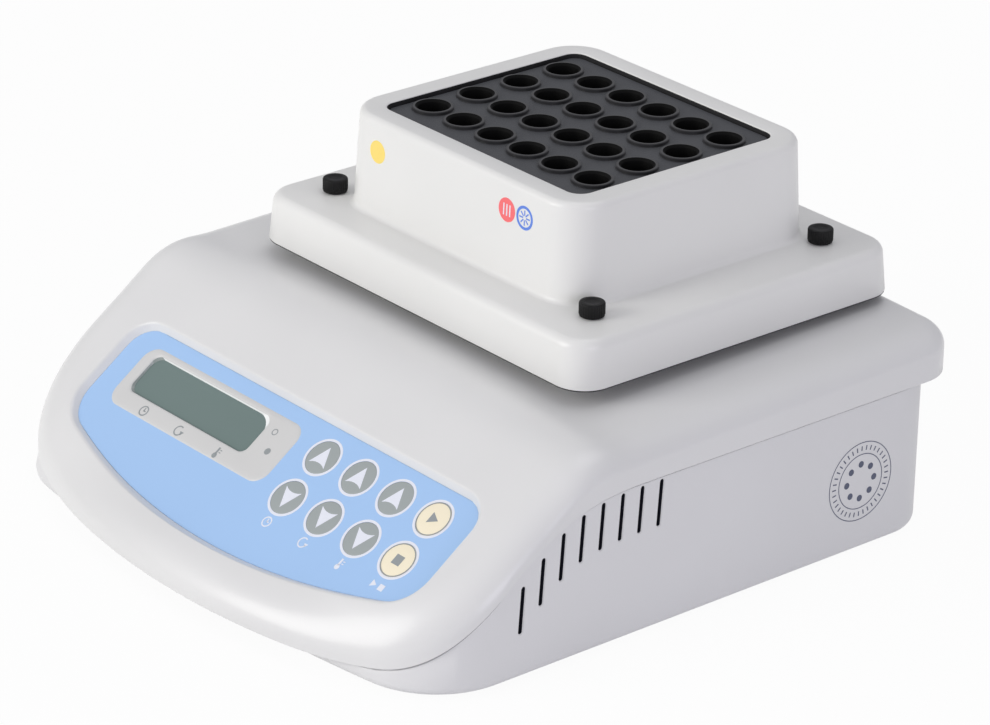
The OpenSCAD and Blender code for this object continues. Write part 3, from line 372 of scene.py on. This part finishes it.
def plan_at(inset):
    """The cover's outline drawn in by so much, on the rays; at the rear it draws in less."""
    return rays_on(cover_outline(inset, REAR + REAR_DRAW * inset), angles)


INSETS = [EDGE_W * k / EDGE_STEPS for k in range(EDGE_STEPS + 1)]
reach = [[math.dist(HUB, p) for p in plan_at(inset)] for inset in INSETS]


def inset_at(i, r):
    """How far inside the outline a point on ray i lies, up to the edge's full width."""
    for k in range(EDGE_STEPS):
        outer, inner = reach[k][i], reach[k + 1][i]
        if r >= inner:
            return max(0, INSETS[k] + (INSETS[k + 1] - INSETS[k]) * (outer - r) / (outer - inner))
    return EDGE_W


def top_at(i, r):
    """Point of the cover's outside on ray i, with its rounded edge."""
    x, y = HUB[0] + r * math.cos(angles[i]), HUB[1] + r * math.sin(angles[i])
    share = 1 - math.sin(math.acos(1 - inset_at(i, r) / EDGE_W))
    return x, y, skin_at(x, y) - share * min(edge_deep(y), skin_at(x, y) - part_at(y) - 0.8)


def tray_wall(grow):
    """Ring of the tray's wall, so far out from the film, rounded into the sloping face."""
    rise = max(0, grow - TRAY_GAP) * LEDGE / LEDGE_W
    plan = rays_on([on_slope(u, s, min(rise, LEDGE))[:2] for u, s in film_outline(grow)], angles)
    ring = []
    for i, (x, y) in enumerate(plan):
        plane = PANEL_Z + (y - PANEL_Y) * math.tan(TILT) + rise / math.cos(TILT)
        ring.append((x, y, smooth_min(plane, top_at(i, math.dist(HUB, (x, y)))[2], 1.1)))
    return ring


tray_rings = [tray_wall(g) for g in (3.5, 3.2, 2.9, 2.5, 2.2, 1.9, 1.6, 1.3, 0.9, 0.5, 0.25, TRAY_GAP)]
limit = [math.dist(HUB, p[:2]) for p in tray_rings[0]]
squeeze = [min(1, 0.86 * (reach[0][i] - limit[i]) / (reach[0][i] - reach[-1][i])) for i in range(len(angles))]
cover_rings = [[(x, y, part_at(y)) for x, y in plan_at(0.4)],
               [(x, y, part_at(y) + 0.4) for x, y in plan_at(0)]]
for k in range(15):
    inset = EDGE_W * (1 - math.cos(math.pi / 2 * k / 14))
    row = [math.dist(HUB, p) for p in plan_at(inset)]
    row = [reach[0][i] - (reach[0][i] - r) * squeeze[i] for i, r in enumerate(row)]
    cover_rings.append([top_at(i, r) for i, r in enumerate(row)])
for k in range(1, 64):
    cover_rings.append([top_at(i, r + (limit[i] - r) * k / 64) for i, r in enumerate(row)])
cover_rings += tray_rings
floor_ring = rays_on([on_slope(u, s, -TRAY_DEEP)[:2] for u, s in film_outline(TRAY_GAP)], angles)
drop = PANEL_Z - TRAY_DEEP / math.cos(TILT)
cover_rings.append([(x, y, drop + (y - PANEL_Y) * math.tan(TILT)) for x, y in floor_ring])
cover = loft("cover_shell", cover_rings, high_cap=True)
apply_modifier(cover, "SOLIDIFY", thickness=COVER_WALL * MM, offset=-1)
hole = solid("hole_tool", [round_rect(HOLE_W, HOLE_D, HOLE_R, z, cy=BLOCK_Y) for z in (40, 90)])
BEZEL_X, BEZEL_S, BEZEL_W, BEZEL_H = -39.2, -38.9, 88.5, 25.8
WINDOW_X, WINDOW_S, WINDOW_W, WINDOW_H = BEZEL_X - 5.5, BEZEL_S + 2.4, 67, 16.4


def panel_rect(cx, cs, w, d, r, h, far=None):
    """Ring of a rounded rectangle at one height over the panel."""
    return [on_slope(u, s, h) for u, s, _ in round_rect(w, d, r, 0, 12, cx, cs, far)]


window = solid("window_tool", [panel_rect(WINDOW_X, WINDOW_S, WINDOW_W + 2, WINDOW_H + 2, 3.5, h)
                               for h in (-9, 0)])
cut(cover, hole, window)
smooth(cover, 40)
cover.data.materials.append(cover_plastic)
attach(cover, "base")
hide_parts("top_cover")

# ---------------------------------------------------------------- base
# The lower moulding: a deep ABS tray with air slots in both sides, and a fan grille and openings
# for the switch and inlet at the rear. The slots' walls and dark strips behind them are painted shade.
# A thin gap parts it from the cover, with a shelf behind the gap painted dark as shade.

BASE_Z, BASE_GAP = 1.5, 0.5
BASE_HALF, BASE_FRONT, BASE_REAR = 118.5, -118.5, 121
BASE_BOW, BASE_CORNER, BASE_REAR_CORNER = 600, 32, 22
SIDE_STEPS, COVER_GAP = 80, 0.6
SLOTS, SLOT_PITCH, SLOT_H, SLOT_W, SLOT_Y = 8, 8.4, 16.8, 1.6, -10.8
REAR_Z = (BASE_Z + PART_REAR) / 2
base_plastic = moulded("base_plastic", (224, 224, 225), 0.42)


def base_outline(inset):
    """Plan of the base, drawn in by so much."""
    return body_outline(BASE_HALF, BASE_FRONT, BASE_REAR, BASE_BOW, BASE_CORNER, BASE_REAR_CORNER, inset)


def side_stepped(ring):
    """Adds points along the two straight sides, so that a ring can follow the parting line."""
    out = []
    for a, b in zip(ring, ring[1:] + ring[:1]):
        out.append(a)
        if abs(a[0] - b[0]) < 1e-6 and abs(a[1] - b[1]) > 50:
            out += [(a[0], a[1] + (b[1] - a[1]) * i / SIDE_STEPS) for i in range(1, SIDE_STEPS)]
    return out


def base_level(inset, z):
    """Ring of the base's wall at one height."""
    return [(x, y, z) for x, y in side_stepped(base_outline(inset))]


def base_lip(inset, lift):
    """Ring of the base's upper edge, nowhere proud of the cover."""
    ring = []
    for x, y in side_stepped(base_outline(inset)):
        a, r = math.atan2(y - HUB[1], x - HUB[0]), math.dist(HUB, (x, y))
        k = bisect(angles, a) % len(angles)
        part = (a - angles[k - 1]) % math.tau / ((angles[k] - angles[k - 1]) % math.tau)
        edge_r = reach[0][k - 1] + part * (reach[0][k] - reach[0][k - 1])
        share = min(1, (edge_r - COVER_GAP - inset) / r)
        ring.append((HUB[0] + share * (x - HUB[0]), HUB[1] + share * (y - HUB[1]), part_at(y) + lift))
    return ring


base = solid("base_shell", [
    base_level(2.4, BASE_Z), base_level(1.6, BASE_Z + 0.15), base_level(0.9, BASE_Z + 0.6),
    base_level(0.35, BASE_Z + 1.3), base_level(0.08, BASE_Z + 2.1), base_level(0, BASE_Z + 3),
    base_lip(0, -BASE_GAP - 0.12), base_lip(0.12, -BASE_GAP), base_lip(2.0, -BASE_GAP),
    base_lip(2.0, 1.6), base_lip(3.5, 1.6), base_lip(3.5, -4), base_level(3.5, 4)])


def slot_tool(side, i):
    """Cutter of one air slot: a bevelled mouth and a straight throat."""
    y = SLOT_Y - SLOT_PITCH * i
    top = part_at(y) - 1.4 - 0.23 * max(0, PANEL_Y - y)

    def mouth(x, grow):
        r = SLOT_W / 2 + grow
        plan = (arc(y, top - SLOT_W / 2, r, 0, 180, 10)
                + arc(y - 1.0, top - SLOT_H + SLOT_W / 2, r, 180, 360, 10))
        return [(side * x, a, b) for a, b in plan]

    tool = solid("slot_tool", [mouth(BASE_HALF + x, grow) for x, grow in ((0.2, 0.45), (-0.35, 0), (-9, 0))])
    face_outwards(tool)
    return tool


def joined(tools):
    pick(tools[0])
    for tool in tools[1:]:
        tool.select_set(True)
    if len(tools) > 1:
        bpy.ops.object.join()
    return bpy.context.object


def box_tool(cx, cy, cz, w, d, h):
    bpy.ops.mesh.primitive_cube_add(size=1, location=(cx * MM, cy * MM, cz * MM),
                                    scale=(w * MM, d * MM, h * MM))
    return bpy.context.object


FAN_X, FAN_R, SWITCH_X, INLET_X = 40, 22, -78, -56
tools = [slot_tool(side, i) for side in (1, -1) for i in range(SLOTS)]
for i in range(-4, 5):
    tools.append(box_tool(FAN_X, BASE_REAR, REAR_Z + 5 * i, 2 * math.sqrt(FAN_R ** 2 - 25 * i * i), 20, 2.2))
tools.append(box_tool(SWITCH_X, BASE_REAR, REAR_Z, 13.4, 20, 19.4))
bpy.ops.mesh.primitive_cylinder_add(vertices=48, radius=5.6 * MM, depth=20 * MM, rotation=(math.pi / 2, 0, 0),
                                    location=(INLET_X * MM, BASE_REAR * MM, REAR_Z * MM))
tools.append(bpy.context.object)
cut(base, joined(tools))
smooth(base, 35)
base.data.materials.append(base_plastic)
base.data.materials.append(moulded("slot_shade", (17, 20, 38), 0.8))
# Painted shade: the faces inside the slots take the near-black slot_shade colour.
for face in base.data.polygons:
    x, y, z = face.center / MM
    if BASE_HALF - 3.6 < abs(x) < BASE_HALF - 0.3 and abs(face.normal.x) < 0.6 and -80 < y < 0:
        face.material_index = 1

shelf_angles = spread_angles(edge, 240)
shelf_out = rays_on(cover_outline(2.9), shelf_angles)
shelf_in = rays_on(base_outline(3), shelf_angles)
SHELF_T = 1.5
shelf = loft("base_shelf", [[(x, y, part_at(y) + lift) for x, y in plan] for plan, lift in
                            ((shelf_in, 0), (shelf_out, 0), (shelf_out, SHELF_T), (shelf_in, SHELF_T))],
             close=True)
# Painted shade: the shelf behind the parting gap is coloured dark grey, which darkens the gap's line.
shelf.data.materials.append(moulded("joint_shade", (92, 92, 98), 0.7))
# Behind each row of slots stands a dark strip of painted shade, seen through the slots.
for side in (1, -1):
    strip = [(BASE_HALF - 4.6, 10), (BASE_HALF - 4.4, 10), (BASE_HALF - 4.4, 50), (BASE_HALF - 4.6, 50)]
    shade_piece = solid("slot_shade_strip", [[(side * x, y, part_at(y) - 1 - (50 - z) * 0.55) for x, z in strip]
                                       for y in (0, -12, -24, -36, -48, -60, -72, -80)])
    face_outwards(shade_piece)
    shade_piece.name = f"slot_shade_strip_{'right' if side > 0 else 'left'}"
    shade_piece.data.materials.append(moulded("slot_strip_painted_shade", (18, 19, 28), 0.9, 0.3, 900))
    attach(shade_piece, "base")
for piece in (base, shelf):
    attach(piece, "base")
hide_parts("base_housing")

# ---------------------------------------------------------------- block cover
# The removable cover round the tube block: a thin moulding with a drafted tower, a broad
# flange that hides the platform, and a rounded rim round the opening. A thin dark ring lies
# at the flange's foot and another fills the gap round the block.

ORBIT = 1.0
FLANGE_W, FLANGE_D, FLANGE_R, FLANGE_Z, FLANGE_H, FLANGE_DRAFT = 176, 147, 12, 76.9, 17.6, 1.0
TOWER_W, TOWER_D, TOWER_R, TOWER_DRAFT, RIM_Z = 124.8, 109.2, 15, 1.3, 130.4
OPEN_W, OPEN_D = 105.4, 90.4
hood_plastic = moulded("hood_plastic", (233, 233, 231), 0.34, grain=0.03)


def hood_ring(w, d, r, z):
    return round_rect(w, d, r, z, n=14, cx=ORBIT, cy=BLOCK_Y)


flange_top = FLANGE_Z + FLANGE_H
fw, fd = FLANGE_W - 2 * FLANGE_DRAFT, FLANGE_D - 2 * FLANGE_DRAFT
tw, td = TOWER_W + 2 * TOWER_DRAFT, TOWER_D + 2 * TOWER_DRAFT
FOOT_RING_H = 0.5
foot = FLANGE_Z + FOOT_RING_H
rings = [hood_ring(OPEN_W, OPEN_D, 5.4, RIM_Z - 5),
         hood_ring(OPEN_W + 3, OPEN_D + 3, 6.5, RIM_Z - 5),
         hood_ring(OPEN_W + 3, OPEN_D + 3, 6.5, RIM_Z - 2.5),
         hood_ring(TOWER_W - 5, TOWER_D - 5, 12.5, RIM_Z - 2.5),
         hood_ring(tw - 5, td - 5, 12.5, flange_top - 2.5),
         hood_ring(fw - 5, fd - 5, 9.5, flange_top - 2.5),
         hood_ring(FLANGE_W - 5, FLANGE_D - 5, 9.5, foot),
         hood_ring(FLANGE_W - 0.5, FLANGE_D - 0.5, 11.7, foot),
         hood_ring(FLANGE_W - 0.1, FLANGE_D - 0.1, 12, foot + 0.25)]
for k in range(9):
    a = math.radians(11.25 * k)
    i = 3.6 * (1 - math.cos(a))
    rings.append(hood_ring(fw - 2 * i, fd - 2 * i, FLANGE_R - i, flange_top - 3.6 + 3.6 * math.sin(a)))
for k in range(9):
    a = math.radians(11.25 * k)
    i = 2 * (1 - math.sin(a))
    rings.append(hood_ring(tw + 2 * i, td + 2 * i, TOWER_R + i, flange_top + 2 * (1 - math.cos(a))))
for k in range(11):
    a = math.radians(9 * k)
    i = 2.5 * (1 - math.cos(a))
    rings.append(hood_ring(TOWER_W - 2 * i, TOWER_D - 2 * i, TOWER_R - i, RIM_Z - 2.5 + 2.5 * math.sin(a)))
for k in range(5):
    a = math.radians(22.5 * k)
    i = 0.5 * (1 - math.sin(a))
    rings.append(hood_ring(OPEN_W + 2 * i, OPEN_D + 2 * i, 5.4 + i, RIM_Z - 0.5 + 0.5 * math.cos(a)))
hood = loft("block_hood", rings, close=True)
smooth(hood, 50)
hood.data.materials.append(hood_plastic)
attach(hood, "block")
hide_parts("block_cover")

# A thin dark ring along the flange's foot.
foot_ring = loft("flange_foot_ring", [hood_ring(FLANGE_W - i, FLANGE_D - i, r, z) for i, r, z in (
    (4, 10, FLANGE_Z), (0.9, 11.5, FLANGE_Z), (0.5, 11.7, FLANGE_Z + 0.15), (0.5, 11.7, foot),
    (4, 10, foot))], close=True)
smooth(foot_ring, 50)
foot_ring.data.materials.append(moulded("flange_foot_dark", (30, 31, 38), 0.7, 0.1, 1500))
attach(foot_ring, "block")

# A dark ring in the gap round the block, just under its rim.
gap_ring = loft("opening_gap_ring", [hood_ring(OPEN_W - i, OPEN_D - i, r, RIM_Z - down) for i, r, down in (
    (0.04, 5.4, 4), (0.04, 5.4, 0.35), (0.5, 5.2, 0.3), (0.7, 5.1, 0.5), (0.7, 5.1, 4))], close=True)
smooth(gap_ring, 50)
opening_gap_dark = moulded("opening_gap_dark", (26, 26, 28), 0.7, 0.1, 1500, Specular_IOR_Level=0.3)
gap_ring.data.materials.append(opening_gap_dark)
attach(gap_ring, "block")

# ---------------------------------------------------------------- tube block
# The aluminium block, blasted and anodised black. Each of its 24 wells has a low turned
# collar with a chamfered mouth, a straight bore and a cone for the tube's foot. The bores are
# near-black: the dark anodising, darkened further as painted shade in the deep wells.

WELL_Z, COLLAR_R, COLLAR_H, BORE_R, BORE_STRAIGHT, BORE_DEEP = 130, 7.35, 1.3, 5.45, 20, 38
BLOCK_W, BLOCK_D, BLOCK_Z, PITCH_X, PITCH_Y = 104.6, 89.6, 82, 17, 20
anodised = moulded("black_anodised", (72, 74, 78), 0.52, grain=0.5, scale=2600, drift=0.06)
turned = moulded("black_turned", (44, 44, 46), 0.3, grain=0.02, scale=600)

top = WELL_Z - COLLAR_H
levels = ((1, 4.5, BLOCK_Z), (0, 5, BLOCK_Z + 0.5), (0, 5, top - 0.5), (1, 4.5, top))
slab = solid("tube_block_body", [round_rect(BLOCK_W - i, BLOCK_D - i, r, z, 8, ORBIT, BLOCK_Y)
                                 for i, r, z in levels])
centres = [(ORBIT + (i - 2.5) * PITCH_X, BLOCK_Y + (j - 1.5) * PITCH_Y) for i in range(6) for j in range(4)]
drills = []
for x, y in centres:
    bpy.ops.mesh.primitive_cylinder_add(vertices=40, radius=(COLLAR_R - 0.15) * MM, depth=45 * MM,
                                        location=(x * MM, y * MM, (WELL_Z + 20 - 22.5 - 18) * MM))
    drills.append(bpy.context.object)
cut(slab, joined(drills))
smooth(slab, 30)
slab.data.materials.append(anodised)

profile = [(COLLAR_R + 0.35, top - 0.4), (COLLAR_R + 0.12, top), (COLLAR_R, top + 0.12),
           (COLLAR_R - 0.05, WELL_Z - 0.25), (COLLAR_R - 0.28, WELL_Z), (BORE_R + 0.85, WELL_Z),
           (BORE_R + 0.7, WELL_Z - 0.1), (BORE_R + 0.05, WELL_Z - 0.8), (BORE_R, WELL_Z - 1.0),
           (BORE_R, WELL_Z - BORE_STRAIGHT), (1.8, WELL_Z - BORE_DEEP + 0.4), (0.9, WELL_Z - BORE_DEEP)]


def circle(cx, cy, r, n):
    return [(cx + r * math.cos(math.tau * k / n), cy + r * math.sin(math.tau * k / n)) for k in range(n)]


wells = [loft("tube_wells", [[(a, b, z) for a, b in circle(x, y, r, 48)] for r, z in profile], high_cap=True)
         for x, y in centres]
wells = joined(wells)
wells.name = "tube_wells"
smooth(wells, 30)
wells.data.materials.append(turned)
bore_black_and_shade = moulded("bore_black_and_shade", (3, 3, 3), 0.7, grain=0.02, scale=600, Specular_IOR_Level=0.15)
wells.data.materials.append(bore_black_and_shade)
# Painted shade: the inner mouths, bores and cones take the near-black colour.
for face in wells.data.polygons:
    x, y, z = face.center / MM
    near = min(math.dist((x, y), c) for c in centres)
    if near < BORE_R + 0.8:
        face.material_index = 1
for piece in (slab, wells):
    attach(piece, "block")
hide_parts("tube_block")

# ---------------------------------------------------------------- thumbscrews
# Four black nylon thumbscrews hold the cover's flange. Each knob has fine straight ribs, a
# rounded top edge and a shallow dish in the middle.

KNOB_R, KNOB_H, KNOB_POINTS, RIB_DEEP = 4.5, 5.0, 128, 0.16
SCREW_X, SCREW_Y, SHANK_Z = 69.2, 52.3, 73.5
nylon = moulded("black_nylon", (12, 12, 13), 0.5, grain=0.25, scale=1800, Specular_IOR_Level=0.25)
for number, (sx, sy) in enumerate(((-1, -1), (1, -1), (1, 1), (-1, 1)), 1):
    x, y, low = ORBIT + sx * SCREW_X, BLOCK_Y + sy * SCREW_Y, flange_top + 0.3
    rings = []
    for r, z, rib in ((2.0, SHANK_Z, 0), (2.0, low, 0), (4.1, low, 0),
                      (4.3, low + 0.15, 0), (4.3, low + 0.6, 0),
                      (KNOB_R, low + 0.75, 1), (KNOB_R, low + 4.4, 1), (KNOB_R - 0.08, low + 4.7, 0.6),
                      (KNOB_R - 0.25, low + 4.9, 0), (KNOB_R - 0.5, low + KNOB_H, 0), (2.6, low + KNOB_H, 0),
                      (2.3, low + 4.85, 0), (0.6, low + 4.8, 0)):
        ring = []
        for k in range(KNOB_POINTS):
            a, out = math.tau * k / KNOB_POINTS, r - RIB_DEEP * rib * (k % 4 in (0, 1))
            ring.append((x + out * math.cos(a), y + out * math.sin(a), z))
        rings.append(ring)
    knob = solid(f"knob_{number}", rings)
    smooth(knob, 40)
    knob.data.materials.append(nylon)
    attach(knob, f"screw_{number}")
    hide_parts(f"thumbscrew_{number}")

# ---------------------------------------------------------------- control panel
# A matt printed polyester film in the tray, with a moulded display frame, a grey window and
# eight round keys. The print is plain: arrows, and marks for start, stop, time, turning, warmth.

film_blue = moulded("film_blue", (166, 201, 243), 0.5, grain=0.03, scale=2200, drift=0.015)
print_white = moulded("print_white", (232, 235, 245), 0.5, 0.02, 2200, 0.01)
print_grey = moulded("print_grey", (150, 156, 158), 0.5, 0.02, 2200, 0.01)
key_grey = moulded("key_grey", (161, 168, 168), 0.48, grain=0.03, scale=2200, drift=0.015)
key_cream = moulded("key_cream", (248, 238, 211), 0.48, grain=0.03, scale=2200, drift=0.01)


INK_T = 0.04


def disc(cx, cy, r):
    return arc(cx, cy, r, 0, 360, 48)[:-1]


def band(cx, cy, r_out, r_in, a0, a1, n=32):
    """Outline of a piece of a ring, between two angles."""
    return arc(cx, cy, r_out, a0, a1, n) + arc(cx, cy, r_in, a1, a0, n)


def ring_of(cx, cy, r_out, r_in):
    return [band(cx, cy, r_out, r_in, 0, 180), band(cx, cy, r_out, r_in, 180, 360)]


def bar(x0, y0, x1, y1, width):
    """Outline of a straight stroke."""
    long = math.dist((x0, y0), (x1, y1))
    nx, ny = -(y1 - y0) / long * width / 2, (x1 - x0) / long * width / 2
    return [(x0 - nx, y0 - ny), (x1 - nx, y1 - ny), (x1 + nx, y1 + ny), (x0 + nx, y0 + ny)]


def print_on(name, surface, outlines, height, mat, body):
    """Thin printed shapes on a surface, which turns (across, up, out) into a place."""
    shapes = [solid(name, [[surface(u, v, h) for u, v in line] for h in (height - 0.02, height + INK_T)])
              for line in outlines]
    piece = joined(shapes)
    piece.name = name
    face_outwards(piece)
    piece.data.materials.append(mat)
    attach(piece, body)


KEY_R, KEY_X, KEY_PITCH, KEY_S, KEY_ROW = 6.7, 19.7, 19.6, 32.1, 18
ARROW = [(0, 4.4), (-4.0, -3.4), (-2.6, -2.75), (-1.3, -2.4),
         (0, -2.3), (1.3, -2.4), (2.6, -2.75), (4.0, -3.4)]
for number in range(1, 9):
    col, row = (number - 1) % 4, (number - 1) // 4
    u, s, turn = KEY_X + KEY_PITCH * col, -KEY_S - KEY_ROW * row, (1, -1)[row]
    cap = solid(f"key_cap_{number}", [[on_slope(a, b, h) for a, b in circle(u, s, r, 64)] for r, h in (
        (KEY_R, -0.6), (KEY_R, -0.1), (KEY_R - 0.1, 0.0), (KEY_R - 0.4, 0.06), (2.0, 0.1), (0.5, 0.1))])
    smooth(cap, 50)
    cap.data.materials.append(key_cream if col == 3 else key_grey)
    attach(cap, f"button_{number}")
    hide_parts(f"key_{number}")
    print_on(f"key_ring_{number}", on_slope, ring_of(u, s, 7.7, 6.72), 0.02, print_white, "base")
    if col < 3:
        mark, ink = [[(u + turn * a, s + turn * b) for a, b in ARROW]], print_white
    elif row == 0:
        start = [(u - 1.7, s - 2.2), (u + 2.3, s), (u - 1.7, s + 2.2)]
        mark, ink = ring_of(u, s, 6.6, 6.2) + [start], print_grey
    else:
        stop = [(u - 1.9, s - 1.9), (u + 1.9, s - 1.9), (u + 1.9, s + 1.9), (u - 1.9, s + 1.9)]
        mark, ink = ring_of(u, s, 6.6, 6.2) + [stop], print_grey
    print_on(f"key_mark_{number}", on_slope, mark, 0.1, ink, f"button_{number}")


def clock_at(u, s):
    return ring_of(u, s, 2.1, 1.6) + [bar(u, s - 0.2, u, s + 1.25, 0.45), bar(u - 0.2, s, u + 1.0, s, 0.45)]


def turning_at(u, s):
    return [band(u, s, 2.1, 1.6, 60, 345, 40), [(u + 0.9, s + 0.2), (u + 1.85, s - 1.3), (u + 2.8, s + 0.2)]]


def warmth_at(u, s):
    ticks = [bar(u + 0.9, s + up, u + 1.8, s + up, 0.35) for up in (0.3, 1.3)]
    return [disc(u, s - 1.3, 1.05), bar(u, s - 0.6, u, s + 2.1, 0.85)] + ticks


LEGEND_S = -61
run_x = KEY_X + 3 * KEY_PITCH
run_mark = [[(run_x - 2.6, -62.4), (run_x - 0.2, LEGEND_S), (run_x - 2.6, -59.6)],
            bar(run_x + 1.1, LEGEND_S, run_x + 3.5, LEGEND_S, 2.4)]
print_on("legend_keys", on_slope, clock_at(KEY_X, LEGEND_S) + turning_at(KEY_X + KEY_PITCH, LEGEND_S)
         + warmth_at(KEY_X + 2 * KEY_PITCH, LEGEND_S) + run_mark, 0.02, print_white, "base")


def window_rect(grow, r, h, far=None):
    return panel_rect(WINDOW_X, WINDOW_S, WINDOW_W + 2 * grow, WINDOW_H + 2 * grow, r, h, far)


def bezel_rect(inset, r, h):
    return panel_rect(BEZEL_X, BEZEL_S, BEZEL_W - 2 * inset, BEZEL_H - 2 * inset, r, h)


bezel = loft("display_bezel", [
    window_rect(-0.4, 4.2, -0.95, 7.5), window_rect(-0.25, 3.9, -0.6, 6.6),
    window_rect(-0.05, 3.4, -0.1, 4.2), window_rect(0.1, 3.2, 0.12),
    window_rect(0.4, 3.3, 0.27), window_rect(0.8, 3.6, 0.32), bezel_rect(1.6, 4.6, 0.32),
    bezel_rect(0.8, 5.3, 0.26), bezel_rect(0.3, 5.7, 0.14), bezel_rect(0.05, 6, 0.0), bezel_rect(0, 6, -0.6),
    window_rect(0.6, 4.6, -0.62), window_rect(0.6, 4.6, -0.95)], close=True)
smooth(bezel, 40)
bezel.data.materials.append(moulded("bezel_plastic", (212, 212, 211), 0.42, grain=0.03))
# The window's wall takes a darker grey-green as painted shade, and a stretch of it at the upper right corner
# a near-white as a painted highlight.
bezel.data.materials.append(moulded("bezel_wall_painted_shade", (150, 158, 156), 0.14, grain=0.0))
bezel.data.materials.append(moulded("bezel_painted_highlight", (250, 252, 252), 0.1, grain=0.0))
# Painted shade on the wall's faces, with a painted highlight on the stretch round the upper right corner.
RING_FACES = 52
for number, face in enumerate(bezel.data.polygons[:RING_FACES * 2]):
    face.material_index = 2 if 11 <= number % RING_FACES <= 26 else 1
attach(bezel, "base")
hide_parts("display_frame")

lens = solid("display_lens", [window_rect(0.6, 4.6, -1.6), window_rect(0.6, 4.6, -0.92),
                              window_rect(-3, 3.0, -0.86)])
smooth(lens, 40)
lens.data.materials.append(moulded("display_grey", (112, 130, 127), 0.2, grain=0.0, drift=0.03))
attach(lens, "base")
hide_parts("display_window")

film = solid("control_film", [[on_slope(u, s, h) for u, s in film_outline(0)] for h in (-0.6, -0.03)]
             + [[on_slope(u, s, 0.0) for u, s in film_outline(-0.03)]])
holes = [solid("film_hole", [bezel_rect(0.3, 5.7, h) for h in (-2, 1)])]
for number in range(8):
    u, s = KEY_X + KEY_PITCH * (number % 4), -KEY_S - KEY_ROW * (number // 4)
    holes.append(solid("film_hole", [[on_slope(*p, h) for p in disc(u, s, KEY_R + 0.05)] for h in (-2, 1)]))
for tool in holes:
    face_outwards(tool)
cut(film, joined(holes))
film.data.materials.append(film_blue)
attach(film, "base")
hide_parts("keypad_overlay")
FRAME_S = -48.8
print_on("legend_display", on_slope,
         clock_at(-63.6, FRAME_S) + turning_at(-43.2, FRAME_S) + warmth_at(-21.4, FRAME_S)
         + ring_of(-6, -32.5, 1.3, 0.95) + [disc(-2.5, -39.75, 1.3)], 0.32, print_grey, "base")

# ---------------------------------------------------------------- marks on the housing
# Printed marks, each a thin layer of ink: a yellow spot, a red disc and a blue ring on the
# tower's front for the block's heat, and two scale rings with balls low on the right side.


def on_tower(x, z, out=0.0):
    """A point of the tower's front, out from its drafted face."""
    share = (RIM_Z - 2.5 - z) / (RIM_Z - 4.5 - flange_top)
    return (x, BLOCK_Y - TOWER_D / 2 - TOWER_DRAFT * share - out, z)


def on_side(y, z, out=0.0):
    return (BASE_HALF + out, y, z)


def spokes(cx, cy, r_in, r_out, n, width):
    """Short strokes that point at a centre."""
    return [bar(*a, *b, width) for a, b in zip(circle(cx, cy, r_in, n), circle(cx, cy, r_out, n))]


SPOT_X, SPOT_Z, RED_X, BLUE_X, MARK_Z, MARK_R = -41, 118.6, 28.7, 37.9, 119.7, 4.25
RINGS_Y, RINGS_Z, BALLS_R = 81, 27.7, 6.4
ink_yellow = moulded("ink_yellow", (254, 224, 118), 0.5)
ink_red = moulded("ink_red", (250, 112, 116), 0.5)
print_on("spot_yellow", on_tower, [disc(SPOT_X, SPOT_Z, 4.1)], 0.02, ink_yellow, "block")
print_on("disc_red", on_tower, [disc(RED_X, MARK_Z, MARK_R)], 0.02, ink_red, "block")
print_on("disc_red_bars", on_tower, [bar(RED_X + d, 117.6, RED_X + d, 121.8, 0.55) for d in (-1.6, 0, 1.6)],
         0.05, print_white, "block")
print_on("ring_blue", on_tower,
         ring_of(BLUE_X, MARK_Z, MARK_R, 3.25) + spokes(BLUE_X, MARK_Z, 0.8, 2.7, 8, 0.5),
         0.02, moulded("ink_blue", (92, 134, 226), 0.5), "block")
print_on("scale_rings", on_side, ring_of(RINGS_Y, RINGS_Z, 14.7, 14.4) + ring_of(RINGS_Y, RINGS_Z, 10.3, 10.0)
         + spokes(RINGS_Y, RINGS_Z, 11.5, 13.2, 36, 0.45)
         + [disc(y, z, 1.2) for y, z in circle(RINGS_Y, RINGS_Z, BALLS_R, 8)],
         0.02, moulded("ink_slate", (84, 90, 112), 0.5), "base")

# ---------------------------------------------------------------- solids kept as they are
# Everything inside the housing and the small fittings keep their solid's own shape and get
# the finish of the real stuff: turned steel, cast aluminium, circuit board, rubber.


def metal(name, rgb, roughness, grain=0.05, scale=900):
    mat = moulded(name, rgb, roughness, grain, scale)
    mat.node_tree.nodes["Principled BSDF"].inputs["Metallic"].default_value = 1.0
    return mat


steel = metal("turned_steel", (190, 190, 193), 0.28)
aluminium = metal("cast_aluminium", (200, 201, 204), 0.42, 0.12, 1500)
bronze = metal("sintered_bronze", (190, 150, 95), 0.4)
rubber = moulded("black_rubber", (26, 26, 27), 0.72, 0.12, 1500)
black_plastic = moulded("black_plastic", (30, 30, 32), 0.45)
board_green = moulded("board_green", (28, 88, 52), 0.35, 0.06, 700, 0.12)
ceramic = moulded("ceramic_white", (232, 232, 226), 0.5)
foam = moulded("grey_foam", (62, 62, 64), 0.9, 0.5, 1200)
acetal = moulded("acetal_cream", (208, 202, 186), 0.4)

KEPT = {
    steel: ["cover_screws", "chassis_screws", "shaft_bearings", "motor_shaft", "drive_shaft",
            "balancer_balls", "idler_crank_1", "idler_crank_2", "idler_crank_3", "eccentric_bearing",
            "platform_posts", "platform_screws"],
    aluminium: ["chassis_plate", "bearing_housing", "balancer_ring", "balancer_lid", "idler_pillars",
                "carrier_plate", "platform_plate", "heat_plate", "motor_body"],
    bronze: ["crank_bushes"],
    rubber: ["rubber_feet", "drive_belt"],
    black_plastic: ["power_inlet", "power_switch_body", "power_rocker", "fan_frame", "fan_rotor",
                    "key_switches", "heatsink"],
    board_green: ["control_board", "main_board"],
    ceramic: ["thermoelectric_modules", "display_module"],
    foam: ["heat_insulation", "block_insulation"],
    acetal: ["motor_pulley", "shaft_pulley"],
}
for mat, names in KEPT.items():
    for name in names:
        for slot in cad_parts[name].material_slots:
            slot.material = mat
